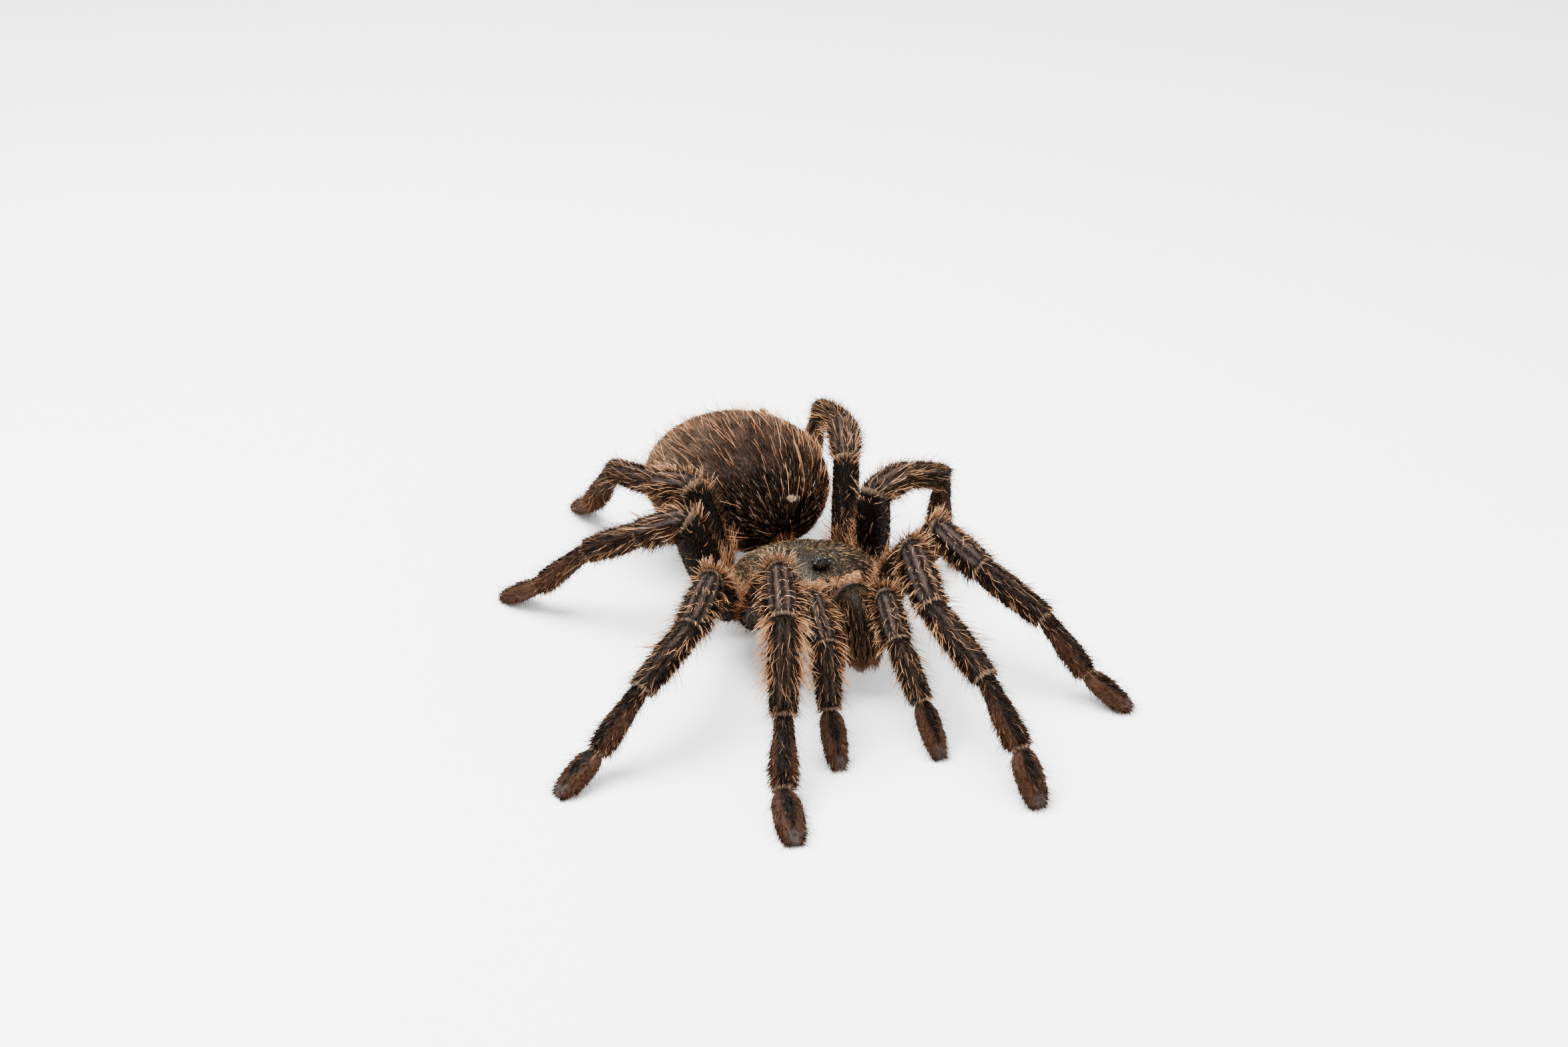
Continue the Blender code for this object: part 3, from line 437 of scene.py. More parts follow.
leg_skin = skin_finish("leg_skin", 0.65, 0.06, 420.0, 0.5)
limbs = [Limb(kind, side) for kind, side in POSE]
for limb in limbs:
    bm = bmesh.new()
    tube(bm, limb.table[:, 1:], RING_SIDES)
    places = np.repeat(limb.table[:, 0], RING_SIDES)
    centre, along, across, up, wide, deep = read_ovals(limb.table, places)
    away = np.array([vert.co[:] for vert in bm.verts]) - centre
    turn = np.arctan2((away * up).sum(axis=1) / deep[:, 0], (away * across).sum(axis=1) / wide[:, 0])
    for vert in bm.verts:
        vert.co.z = max(vert.co.z, 0.0)
    nodes = [limb.name + "_" + part for part in ("coxa", "femur", "tibia", "foot")]
    finish_mesh("skin_" + limb.name, bm, leg_skin, nodes, limb.markings(places, turn)[0])


# Legs and palps: the fur
# Short velvet covers the skin but for the bare stripes, with finer brown hair through it, and
# long curved salmon bristles stand out of it. Every hair is a closed taper rooted in the skin.
FUR_PATCH = 0.003
FLOOR_CLEAR = 0.12
ROOT_DEPTH = 0.12
TAPER = 0.34
CURL = 0.14
VELVET_DENSITY = 5.8
VELVET_LENGTH = {"coxa": 1.3, "femur": 0.85, "patella": 0.8, "tibia": 0.95, "metatarsus": 1.0, "tarsus": 1.0}
UNDERCOAT = {"coxa": 1.3, "femur": 0.6, "patella": 2.5, "tibia": 1.8, "metatarsus": 1.5, "tarsus": 1.1}
UNDERCOAT_LENGTH = 1.9
# How light the long hairs of each bone are
GLOW = {"coxa": 0.6, "femur": 0.6, "patella": 1.1, "tibia": 0.65, "metatarsus": 0.5, "tarsus": 0.4}
# Bristles: how many to a square millimetre, length, and lift at root and tip
BRISTLES = {
    "coxa": (1.8, 3.6, 52, 30),
    "femur": (0.10, 2.6, 40, 14),
    "patella": (0.62, 4.3, 44, 8),
    "tibia": (0.46, 4.2, 32, 8),
    "metatarsus": (0.26, 3.0, 30, 10),
    "tarsus": (0.05, 1.8, 34, 14),
}
SIDE_LIFT = 16.0
THIGH_DENSITY = 1.5
THIGH_LENGTH = 5.4
THIGH_REACH = 0.62
THIGH_TURN = math.radians(55)
GUARD_DENSITY = 0.95
HOOP_HAIRS = 40
# Tufts of upright bristles round the far end of each femur, and beards beside some tibiae
KNEE_TUFTS = {"palp": 46, "leg_1": 62, "leg_2": 66, "leg_3": 26, "leg_4": 26}
SHIN_BEARDS = {"palp_right": 26, "palp_left": 16, "leg_1_right": 84, "leg_1_left": 22, "leg_2_right": 26}
# Kinds of hair: limits of length and width, lift in degrees at the root and at the tip, tones of
# root, middle and tip, and segments
VELVET = ((0.7, 1.3), 0.22, (26, 52), (12, 36), (0.7, 1.0, 1.2), 1)
UNDERFUR = ((0.6, 1.3), 0.11, (28, 62), (14, 50), (0.6, 1.0, 1.4), 2)
GUARD = ((1.6, 4.4), 0.065, (45, 70), (30, 60), (1.0, 1.0, 1.8), 2)
HOOP = ((0.4, 1.2), 0.12, (15, 50), (5, 25), (0.7, 1.0, 1.0), 2)


def grow(name, material, root, lie, out, unwrap, length, width, lifts, colours, segments, seed,
         sway=0.22):
    """One piece of fur: closed three-sided tapers, bent from one lift to another along their lie."""
    above = root[:, 2] > FLOOR_CLEAR + 0.1
    root, lie, out, unwrap, length, width = (part[above] for part in (root, lie, out, unwrap, length, width))
    lifts = [part[above] for part in lifts]
    colours = [part[above] for part in colours]
    count = len(root)
    draw = np.random.default_rng(seed)
    lie = unit_length(lie - out * (lie * out).sum(axis=1)[:, None])
    across = np.cross(lie, out)
    swing = draw.normal(0.0, sway, count)[:, None]
    lie = lie * np.cos(swing) + across * np.sin(swing)
    curl = draw.normal(0.0, CURL, count)[:, None]
    spot = root - out * (ROOT_DEPTH + 0.25 * width[:, None])
    points = [spot]
    for step in range(segments):
        share = (step + 0.5) / segments
        lift = np.radians(lifts[0] + (lifts[1] - lifts[0]) * share)[:, None]
        heading = lie * np.cos(lift) + out * np.sin(lift) + across * curl * share
        spot = spot + heading * (length / segments)[:, None]
        spot[:, 2] = np.maximum(spot[:, 2], FLOOR_CLEAR)
        points.append(spot)
    rows = []
    for step in range(segments):
        run = unit_length(points[step + 1] - points[step])
        side = unit_length(np.cross(run, out))
        top = np.cross(side, run)
        thick = (width * (0.5 - TAPER * step / segments))[:, None]
        for corner in np.radians((90.0, 210.0, 330.0)):
            rows.append(points[step] + side * thick * math.cos(corner) + top * thick * math.sin(corner))
    rows.append(points[-1])
    verts = np.stack(rows, axis=1)
    verts[:, :, 2] = np.maximum(verts[:, :, 2], 0.02)
    per = verts.shape[1]
    faces = [(0, 2, 1)]
    for step in range(segments - 1):
        for corner in range(3):
            low, high = 3 * step + corner, 3 * step + (corner + 1) % 3
            faces += [(low, high, high + 3), (low, high + 3, low + 3)]
    last = 3 * (segments - 1)
    faces += [(last + corner, last + (corner + 1) % 3, per - 1) for corner in range(3)]
    corners = (np.array(faces)[None] + (np.arange(count) * per)[:, None, None]).reshape(-1, 3)
    mesh = bpy.data.meshes.new(name)
    mesh.vertices.add(count * per)
    mesh.vertices.foreach_set("co", (verts * MM).ravel())
    mesh.loops.add(corners.size)
    mesh.loops.foreach_set("vertex_index", corners.ravel())
    mesh.polygons.add(len(corners))
    mesh.polygons.foreach_set("loop_start", np.arange(len(corners)) * 3)
    mesh.update(calc_edges=True)
    along = np.minimum(np.arange(per) // 3 / segments, 1.0)
    shades = mix(mix(colours[0][:, None], colours[1][:, None], smooth(along, 0.0, 0.35)[None]),
                 colours[2][:, None], smooth(along, 0.5, 1.0)[None])
    shades = np.concatenate([shades, np.ones((count, per, 1))], axis=2)
    layer = mesh.attributes.new("strand", "FLOAT_COLOR", "POINT")
    layer.data.foreach_set("color", shades.ravel())
    patch = np.stack([np.arange(per) % 3 / 2.0, along], axis=1)
    flat = np.clip(unwrap, 0.0, 1.0 - FUR_PATCH)[:, None] + patch[None] * FUR_PATCH
    layer = mesh.uv_layers.new(name="OFBake")
    layer.data.foreach_set("uv", flat.reshape(-1, 2)[corners.ravel()].ravel())
    place_piece(name, mesh, material)


def shaded(draw, colour, spread, count=0):
    """Colours that vary in brightness from hair to hair."""
    colour = np.tile(colour, (count, 1)) if count else colour
    return colour * np.exp(draw.normal(0.0, spread, len(colour)))[:, None]


def coat(name, material, slot, draw, root, lie, out, unwrap, kind, colours, seed,
         swell=1.0, rise=0.0, fall=0.0, sway=0.22, tips=None):
    """Fur of one kind, with its sizes and lifts drawn between the kind's limits."""
    size, width, high, low, tones, segments = kind
    count = len(root)
    length = swell * draw.uniform(*size, count)
    width = draw.uniform(*width, count) if isinstance(width, tuple) else np.full(count, width)
    lifts = (draw.uniform(*high, count) + rise, draw.uniform(*low, count) + fall)
    shades = [colours * tone for tone in tones]
    if tips is not None:
        shades[2] = shaded(draw, tips, 0.2, count)
    grow(name, material, root, lie, out, unwrap, length, width, lifts, shades, segments, seed, sway)


def furred(draw, limb, densities, thin):
    """Spots of short fur on a limb and its colours, fewer where the skin is bare."""
    place, turn = limb.scatter(draw, densities)
    colours, bare = limb.markings(place, turn)
    kept = draw.uniform(0, 1, len(place)) > thin * bare
    return place[kept], turn[kept], colours[kept]


fur = hair_finish("fur", 0.8, 0.0)
bristle = hair_finish("bristle", 0.6, 0.05)
for order, limb in enumerate(limbs):
    draw = np.random.default_rng(100 + order)

    def coat_limb(name, material, place, turn, kind, colours, seed, **more):
        """Fur of one kind at spots of this limb."""
        point, out, along = round_ovals(limb.table, place, turn)
        slot = "femur_velvet" if material is fur else "tibia_coat"
        coat(name + "_" + limb.name, material, slot, draw, point, along, out, limb.flat(place, turn), kind,
             colours, seed + order, **more)

    place, turn, colours = furred(draw, limb, [(bone, VELVET_DENSITY) for bone in limb.bones], 0.93)
    size = np.array([VELVET_LENGTH[bone] for bone in limb.parts(place, turn)[0]])
    bulk = limb.bulk(place, turn)
    coat_limb("fur", fur, place, turn, VELVET, shaded(draw, colours, 0.35), 200,
              swell=size * (1 + 0.9 * bulk), rise=24 * bulk, fall=28 * bulk)

    place, turn, colours = furred(draw, limb, [(bone, UNDERCOAT[bone]) for bone in limb.bones], 0.8)
    colours = shaded(draw, mix(colours, SALMON * 0.3, draw.uniform(0.0, 0.4, len(place))), 0.3)
    bulk = limb.bulk(place, turn)
    coat_limb("undercoat", fur, place, turn, UNDERFUR, colours, 600,
              swell=UNDERCOAT_LENGTH * limb.scale * (1 + 0.7 * bulk), rise=18 * bulk, fall=20 * bulk)

    place, turn = limb.scatter(draw, [(bone, BRISTLES[bone][0]) for bone in limb.bones], 0.96)
    thigh_place, thigh_turn = limb.scatter(draw, [("femur", THIGH_DENSITY)], THIGH_REACH)
    thigh = np.arange(len(place) + len(thigh_place)) >= len(place)
    place, turn = np.append(place, thigh_place), np.append(turn, thigh_turn)
    bone, part, off = limb.parts(place, turn)
    bare = limb.markings(place, turn)[1]
    chance = (1 - 0.5 * bare) * (1.0 - 0.45 * smooth(off, 110, 160))
    facing = smooth(np.cos(turn - THIGH_TURN), -0.2, 0.7)
    chance = np.where(thigh, facing * (1 - smooth(part, 0.12, THIGH_REACH)) ** 1.5, chance)
    chance = np.where(bone == "tarsus", chance * smooth(off, 18, 40), chance)
    chance = np.where(bone == "metatarsus", chance * (0.4 + 0.6 * smooth(off, 20, 60)), chance)
    kept = draw.uniform(0, 1, len(place)) < chance
    place, turn, bone, off, thigh = (part[kept] for part in (place, turn, bone, off, thigh))
    length, high, low = (np.array([BRISTLES[name][item] for name in bone]) for item in (1, 2, 3))
    length = np.where(thigh, THIGH_LENGTH, length)
    point, out, along = round_ovals(limb.table, place, turn)
    count = len(place)
    glow = np.array([GLOW[name] for name in bone])[:, None]
    base = np.where(np.isin(bone, ("coxa", "femur"))[:, None], ORANGE, SALMON)
    salmon = shaded(draw, base * glow, 0.4)
    tips = shaded(draw, mix(PALE_TIP, ORANGE, draw.uniform(0.0, 0.5, count)) * glow, 0.3)
    side_lift = SIDE_LIFT * np.sin(np.radians(np.clip(off, 0, 180))) + 10 * limb.bulk(place, turn)
    grow("bristles_" + limb.name, bristle, point, along, out, limb.flat(place, turn),
         length * limb.scale * draw.uniform(0.5, 1.25, count), draw.uniform(0.09, 0.17, count),
         (high + side_lift + draw.normal(0, 9, count), low + 0.9 * side_lift + draw.normal(0, 9, count)),
         (salmon * 0.15, salmon, tips * 1.15), 4, 300 + order, 0.34)

    place, turn = limb.scatter(draw, [(bone, GUARD_DENSITY) for bone in limb.bones[1:]])
    brown = shaded(draw, mix(BROWN, SALMON * 0.6, draw.uniform(0.0, 0.5, len(place))), 0.5)
    coat_limb("guard", bristle, place, turn, GUARD, brown, 400, swell=limb.scale)

    tuft, beard = KNEE_TUFTS[limb.kind], SHIN_BEARDS.get(limb.name, 0)
    shin = limb.bones.index("tibia")
    place = np.concatenate([draw.uniform(1.88, 1.985, tuft), shin + draw.uniform(-0.12, 0.62, 2 * beard)])
    turn = np.radians(np.concatenate([90 + draw.normal(0, 45, tuft), draw.uniform(-25, 45, beard),
                                      draw.uniform(135, 205, beard)]))
    point, out, along = round_ovals(limb.table, place, turn)
    count = len(place)
    high = np.arange(count) < tuft
    light = shaded(draw, mix(SALMON, ORANGE, draw.uniform(0.0, 0.7, count)) * 0.7, 0.25)
    grow("tufts_" + limb.name, bristle, point, along, out, limb.flat(place, turn),
         np.where(high, draw.uniform(2.2, 4.4, count), draw.uniform(3.4, 6.4, count)) * limb.scale,
         draw.uniform(0.16, 0.25, count),
         (np.where(high, draw.uniform(50, 88, count), draw.uniform(42, 66, count)),
          np.where(high, draw.uniform(30, 70, count), draw.uniform(18, 44, count))),
         (light * 0.3, light, shaded(draw, PALE_TIP * 0.85, 0.2, count)), 4, 700 + order, 0.4)

    turn = np.radians(90 + draw.uniform(-120, 120, HOOP_HAIRS * (len(limb.bones) - 2)))
    place = np.repeat(np.arange(1, len(limb.bones) - 1), HOOP_HAIRS) + draw.uniform(0.95, 0.98, len(turn))
    coat_limb("hoops", bristle, place, turn, HOOP, shaded(draw, CREAM, 0.3, len(place)), 500)


# Abdomen
# The soft egg of the hind body, covered in close dark velvet and long curved salmon hairs
# that leave the front and sweep back over it.
ABDOMEN_CENTRE = Vector((-1.7, 42.0, 19.0))
ABDOMEN_HALF = np.array((21.3, 24.2, 14.6))
ABDOMEN_TURN = math.radians(8.0)
ABDOMEN_VELVET = 50000
ABDOMEN_STREAKS = 7000
ABDOMEN_HAIRS = 620
ABDOMEN_CURLS = 1500
GREY_TIP = np.array((0.3200, 0.2150, 0.1650))
TUFT_HAIRS = 60
# Tufts: name, middle on a unit sphere, length, colour and seed
ABDOMEN_TUFTS = (("tuft_top", (0.50, 0.41, 0.77), 2.6, (0.12, 0.06, 0.03), 29),
                 ("tuft_front", (0.11, -0.93, 0.36), 1.8, (0.45, 0.32, 0.20), 30))
COAT_PARTING = np.array((0.06, -0.92, -0.38))
SAND = np.array((0.0820, 0.0570, 0.0390))
abdomen_spot = Matrix.Translation(HOME + ABDOMEN_CENTRE) @ Matrix.Rotation(ABDOMEN_TURN, 4, "Z")


def abdomen_shape(unit):
    """Points of the abdomen, and the way out of it, for points of a unit sphere."""
    x, y, z = unit.T
    wide = 1.0 + 0.10 * y - 0.05 * y * y
    low = np.where(z < 0, 0.94, 1.0)
    return np.stack([x * wide, y, z * low], axis=1) * ABDOMEN_HALF, unit_length(unit / ABDOMEN_HALF)


def abdomen_colours(unit):
    """Near black in front and low down, dark brown over the top, sandier behind and at the sides."""
    x, y, z = unit.T
    ripple = 0.10 * np.sin(9 * x + 4 * y) * np.sin(11 * y - 5 * x)
    ripple = ripple + 0.05 * np.sin(23 * x) * np.sin(19 * y + 8 * z)
    behind = smooth(y + 0.35 * np.abs(x) + ripple, -0.25, 0.85)
    front = smooth(y + ripple, -0.85, -0.25)
    colour = mix(BLACK, BROWN * (1.3, 1.5, 1.7), front)
    colour = mix(colour, SAND, 0.55 * behind * smooth(z, -0.6, 0.1))
    return colour * (1.0 + 4.0 * ripple)[:, None]


bm = bmesh.new()
bmesh.ops.create_uvsphere(bm, u_segments=72, v_segments=44, radius=1.0)
unit = np.array([vert.co[:] for vert in bm.verts])
for vert, spot in zip(bm.verts, abdomen_shape(unit)[0]):
    vert.co = abdomen_spot @ Vector(spot)
abdomen_skin = skin_finish("abdomen_skin", 0.7, 0.05, 260.0, 0.6)
finish_mesh("skin_abdomen", bm, abdomen_skin, ["abdomen"], abdomen_colours(unit))


def sphere_spots(draw, count):
    """Even random points of a unit sphere."""
    return unit_length(draw.normal(0.0, 1.0, (count, 3)))


def in_place(matrix, points, ways):
    """Points and directions moved by a matrix."""
    turn_only = np.array(matrix.to_3x3())
    return points @ turn_only.T + np.array(matrix.translation), [way @ turn_only.T for way in ways]


def sphere_unwrap(unit):
    """A round skin laid flat: round its length across, from front to back upwards."""
    x, y, z = unit.T
    return np.stack([np.arctan2(x, z) / math.tau + 0.5, np.arccos(-y) / math.pi], axis=1)


def abdomen_coat(name, draw, count, reach, material, size, width, lifts, colours, segments, seed):
    """Hair of one kind over the abdomen, lying away from the parting near its front."""
    unit = sphere_spots(draw, count)
    unit = unit[draw.uniform(0, 1, count) < reach(unit)]
    point, out = abdomen_shape(unit)
    lie = unit - COAT_PARTING
    point, (out, lie) = in_place(abdomen_spot, point, (out, lie))
    count = len(unit)
    lift = (draw.uniform(*lifts[0], count), draw.uniform(*lifts[1], count))
    grow(name, material, point, lie, out, sphere_unwrap(unit), draw.uniform(*size, count),
         draw.uniform(*width, count), lift, colours(unit), segments, seed, 0.16)


def everywhere(unit):
    """Hair all over."""
    return np.ones(len(unit))


def upper_side(unit):
    """Hair that thins out underneath and on the front face."""
    return (0.3 + 0.7 * smooth(unit[:, 2], -0.6, -0.1)) * (0.3 + 0.7 * smooth(unit[:, 1], -0.96, -0.6))


def hind_side(unit):
    """Hair of the middle and the rear."""
    return smooth(unit[:, 1], -0.5, 0.4)


def fore_side(unit):
    """Hair of the front face."""
    return 1.0 - smooth(unit[:, 1], -0.92, -0.55)


def grey_colours(unit):
    """Short greyish curls with pale tips."""
    colour = shaded(draw, GREY_TIP * 0.5, 0.4, len(unit))
    return colour * 0.15, colour, shaded(draw, GREY_TIP, 0.3, len(unit))


def velvet_colours(unit):
    """The skin's own markings, lighter to the tips."""
    colour = shaded(draw, abdomen_colours(unit), 0.4)
    return colour * 0.8, colour, colour * 1.6


def streak_colours(unit):
    """Thin brown hair, a little redder than the velvet."""
    colour = shaded(draw, mix(abdomen_colours(unit), SALMON * 0.5, draw.uniform(0.0, 0.5, len(unit))), 0.4)
    return colour * 0.4, colour, colour * 1.4


def salmon_colours(unit):
    """The long hairs, reddish salmon with paler tips."""
    colour = shaded(draw, mix(ORANGE, SALMON, draw.uniform(0.0, 1.0, len(unit))) * 1.1, 0.35)
    return colour * 0.2, colour, shaded(draw, mix(PALE_TIP, SALMON, draw.uniform(0.0, 0.9, len(unit))), 0.25)


draw = np.random.default_rng(21)
for half in range(2):
    abdomen_coat("fur_abdomen_" + str(half + 1), draw, ABDOMEN_VELVET // 2, everywhere, fur,
                 (0.9, 1.8), (0.20, 0.25), ((22, 48), (8, 30)), velvet_colours, 1, 22 + half)
abdomen_coat("streaks_abdomen", draw, ABDOMEN_STREAKS, everywhere, fur,
             (1.8, 4.2), (0.08, 0.13), ((20, 44), (-4, 24)), streak_colours, 2, 25)
abdomen_coat("bristles_abdomen", draw, ABDOMEN_HAIRS, upper_side, bristle,
             (4.0, 9.5), (0.12, 0.2), ((16, 34), (-12, 8)), salmon_colours, 6, 26)
abdomen_coat("curls_abdomen", draw, ABDOMEN_CURLS, fore_side, bristle,
             (1.0, 2.4), (0.13, 0.19), ((50, 85), (-50, -10)), grey_colours, 3, 28)
for name, spot, size, shade, seed in ABDOMEN_TUFTS:
    unit = unit_length(spot + draw.normal(0, 0.022, (TUFT_HAIRS, 3)))
    point, out = abdomen_shape(unit)
    placed, (out, lie) = in_place(abdomen_spot, point, (out, draw.normal(0, 1, (TUFT_HAIRS, 3))))
    kind = ((0.6 * size, size), (0.16, 0.24), (50, 90), (30, 90), (0.4, 1.0, 1.3), 3)
    coat(name, bristle, "abdomen_coat", draw, placed, lie, out, sphere_unwrap(unit), kind,
         shaded(draw, shade, 0.3, TUFT_HAIRS), seed)
abdomen_coat("wisps_abdomen", draw, 2 * ABDOMEN_HAIRS, hind_side, bristle,
             (3.5, 7.0), (0.08, 0.11), ((42, 70), (24, 56)), salmon_colours, 4, 27)


# Carapace
# The hard shield over the front body: raised over the head, with a pit in the middle and
# grooves that ray from it, close olive-brown hair that rays the same way, and a salmon fringe.
CARAPACE_HALF = (15.6, 16.4)
CARAPACE_RIM = 2.1
CARAPACE_RISE = 6.2
CARAPACE_FRONT = -15.7
CARAPACE_FLAT = (34, 36)
HEAD_SWELL = 1.5
PIT_AT = 3.0
OLIVE = np.array((0.0085, 0.0062, 0.0036))
GOLD = np.array((0.3000, 0.1900, 0.1050))
PEACH = np.array((0.4400, 0.2100, 0.0920))
CARAPACE_FUR = 21000
CARAPACE_GOLD = 700
CARAPACE_FRINGE = 2000
BROW_HAIRS = 3600
CARAPACE_DOWN = ((0.7, 1.3), 0.13, (18, 38), (4, 20), (0.8, 1.0, 1.4), 1)
GOLDEN = ((1.0, 2.2), (0.07, 0.12), (14, 40), (-6, 16), (0.15, 0.7, 1.0), 2)
FRINGE = ((1.0, 2.4), 0.11, (5, 50), (-5, 30), (0.25, 0.8, 1.0), 3)
BROW = ((0.6, 1.1), (0.09, 0.15), (35, 80), (-20, 50), (0.05, 0.6, (1.4, 1.6, 1.8)), 3)
# Middle and half width of the arch of brow hair over each block
BROW_ARCH = (4.7, 4.4)


def carapace_shape(unit):
    """Points of the shield for points of a half sphere, and how deep its grooves are there."""
    x, y, z = unit.T
    square = np.maximum((np.abs(x) ** 2.4 + np.abs(y) ** 2.4) ** (1 / 2.4), 1e-6)
    fill = np.hypot(x, y) / square
    long = y * fill * CARAPACE_HALF[1]
    taper = 1.0 - 0.30 * np.maximum(0.0, -y) ** 2 - 0.16 * np.maximum(0.0, y) ** 2
    wide = x * fill * CARAPACE_HALF[0] * taper
    head = HEAD_SWELL * np.exp(-(wide / 6.5) ** 2 - ((long + 8.5) / 6.0) ** 2)
    pit = 1.3 * np.exp(-(wide / 2.6) ** 2 - ((long - PIT_AT) / 1.2) ** 2)
    ray = np.degrees(np.arctan2(np.abs(wide), long - PIT_AT))
    far = np.hypot(wide, long - PIT_AT)
    groove = 0.0
    for angle, depth, width in ((146.0, 0.9, 5.0), (112.0, 0.5, 6.0), (80.0, 0.5, 6.0), (46.0, 0.5, 7.0)):
        groove = groove + depth * np.exp(-((ray - angle) / width) ** 2)
    groove = groove * smooth(far, 1.5, 4.5) * (1 - smooth(far, 10.0, 14.0))
    high = CARAPACE_RIM + CARAPACE_RISE * np.maximum(z, 0.0) ** 0.85 + (head - pit - groove) * z
    return np.stack([wide, np.maximum(long, CARAPACE_FRONT), high], axis=1), groove


def carapace_out(unit):
    """The way out of the shield, from how its points move as the half sphere's do."""
    nudge = 0.004
    first = unit_length(np.cross(unit, (0.0, 0.0, 1.0)) + (1e-6, 0, 0))
    runs = [carapace_shape(unit + nudge * way)[0] - carapace_shape(unit - nudge * way)[0]
            for way in (first, np.cross(unit, first))]
    out = np.cross(*runs)
    return unit_length(out * np.where((out * unit).sum(axis=1) < 0, -1.0, 1.0)[:, None])


def carapace_colours(point, groove):
    """Olive brown, blacker on the head and in the grooves."""
    head = np.exp(-(point[:, 0] / 6.0) ** 2 - ((point[:, 1] + 9.0) / 6.0) ** 2)
    edge = smooth(np.hypot(point[:, 0] / CARAPACE_HALF[0], point[:, 1] / CARAPACE_HALF[1]), 0.88, 1.0)
    colour = mix(OLIVE, BLACK, np.clip(0.55 * head + 1.2 * groove, 0.0, 0.9))
    colour = mix(colour, BROWN * 1.5, 0.7 * edge)
    return mix(colour, BLACK, smooth(-point[:, 1], 15.2, 15.6))


def shield_spots(count):
    """Even random points of the shield, how deep its grooves are there, the way out, and away from the pit."""
    unit = sphere_spots(draw, count)
    unit[:, 2] = np.abs(unit[:, 2])
    point, groove = carapace_shape(unit)
    away = (point - (0.0, PIT_AT - 1.0, 0.0)) * (1.0, 1.0, 0.0)
    return point, groove, carapace_out(unit), away


def coat_shield(name, material, point, lie, out, kind, colours, seed, **more):
    """Fur of one kind at points of the shield, unwrapped as it is seen from above."""
    placed, (out, lie) = in_place(tilt, point, (out, lie))
    flat = point[:, :2] / CARAPACE_FLAT + 0.5
    coat(name, material, "carapace_coat", draw, placed, lie, out, flat, kind, colours, seed, **more)


bm = bmesh.new()
bmesh.ops.create_uvsphere(bm, u_segments=96, v_segments=56, radius=1.0)
bmesh.ops.bisect_plane(bm, geom=bm.verts[:] + bm.edges[:] + bm.faces[:], dist=0.0001,
                       plane_co=(0, 0, 0), plane_no=(0, 0, -1), clear_outer=True)
bmesh.ops.holes_fill(bm, edges=[edge for edge in bm.edges if edge.is_boundary], sides=0)
shape, groove = carapace_shape(np.array([vert.co[:] for vert in bm.verts]))
for vert, spot in zip(bm.verts, shape):
    vert.co = tilt @ Vector(spot)
carapace_skin = skin_finish("carapace_skin", 0.5, 0.15, 330.0, 0.7)
finish_mesh("skin_carapace", bm, carapace_skin, ["carapace"], carapace_colours(shape, groove))

draw = np.random.default_rng(31)
point, groove, out, lie = shield_spots(CARAPACE_FUR)
ray = np.arctan2(point[:, 0], point[:, 1] - PIT_AT)
streak = 0.5 + 0.5 * np.sin(31.0 * ray + 3.0 * np.sin(7.0 * ray))
golden = draw.uniform(0, 1, CARAPACE_FUR) ** 5 * (0.35 + 0.65 * streak) * (1 - np.clip(1.3 * groove, 0, 0.9))
colours = shaded(draw, mix(carapace_colours(point, groove), GOLD, golden), 0.3)
colours = colours * (0.55 + 0.9 * smooth(np.sin(6.0 * ray + 2.0 * np.sin(3.0 * ray) + 1.3), -0.6, 0.8))[:, None]
coat_shield("fur_carapace", fur, point, lie, out, CARAPACE_DOWN, colours, 32)

point, groove, out, lie = shield_spots(CARAPACE_GOLD)
colours = shaded(draw, mix(GOLD, PALE_TIP, draw.uniform(0, 0.5, CARAPACE_GOLD)), 0.4)
coat_shield("gold_carapace", bristle, point, lie, out, GOLDEN, colours, 35)

around = draw.uniform(0, math.tau, CARAPACE_FRINGE)
rim = np.stack([np.cos(around), np.sin(around), np.ones(CARAPACE_FRINGE)], axis=1)
unit = rim.copy()
unit[:, 2] = draw.uniform(0.0, 1.0, CARAPACE_FRINGE) ** 3 * 0.4
point = carapace_shape(unit_length(unit))[0]
coat_shield("fringe_carapace", bristle, point, rim * (1.0, 1.0, -0.2), rim * (0.8, 0.8, 0.6), FRINGE,
            shaded(draw, SALMON, 0.25, CARAPACE_FRINGE), 33,
            swell=1 + 0.9 * smooth(np.sin(around), 0.2, 0.8), tips=PALE_TIP * 0.9)

unit = unit_length(np.stack([draw.uniform(-0.8, 0.8, BROW_HAIRS), np.full(BROW_HAIRS, -1.0),
                             draw.uniform(0.0, 0.6, BROW_HAIRS)], axis=1))
point = carapace_shape(unit)[0]
beside = (np.abs(point[:, 0]) - BROW_ARCH[0]) / BROW_ARCH[1]
arch = np.cos(np.clip(beside, -1.0, 1.0) * math.pi / 2)
front = -14.0 + 0.35 * np.maximum(np.abs(point[:, 0]) - 3.5, 0.0) ** 1.5
near = point[:, 1] < front - draw.uniform(0, 1.2, BROW_HAIRS)
near &= arch > draw.uniform(0, 0.3, BROW_HAIRS)
near &= point[:, 2] > 3.6 + 0.8 * arch
point, out, beside, arch = (part[near] for part in (point, carapace_out(unit), beside, arch))
count = len(point)
lie = np.stack([np.sign(point[:, 0]) * beside * 0.8 + draw.normal(0, 0.25, count), np.full(count, -1.0),
                draw.normal(0.0, 0.3, count)], axis=1)
coat_shield("brow", bristle, point, lie, out, BROW, shaded(draw, PEACH, 0.5, count), 34,
            swell=0.8 + 2.2 * arch, sway=0.3)


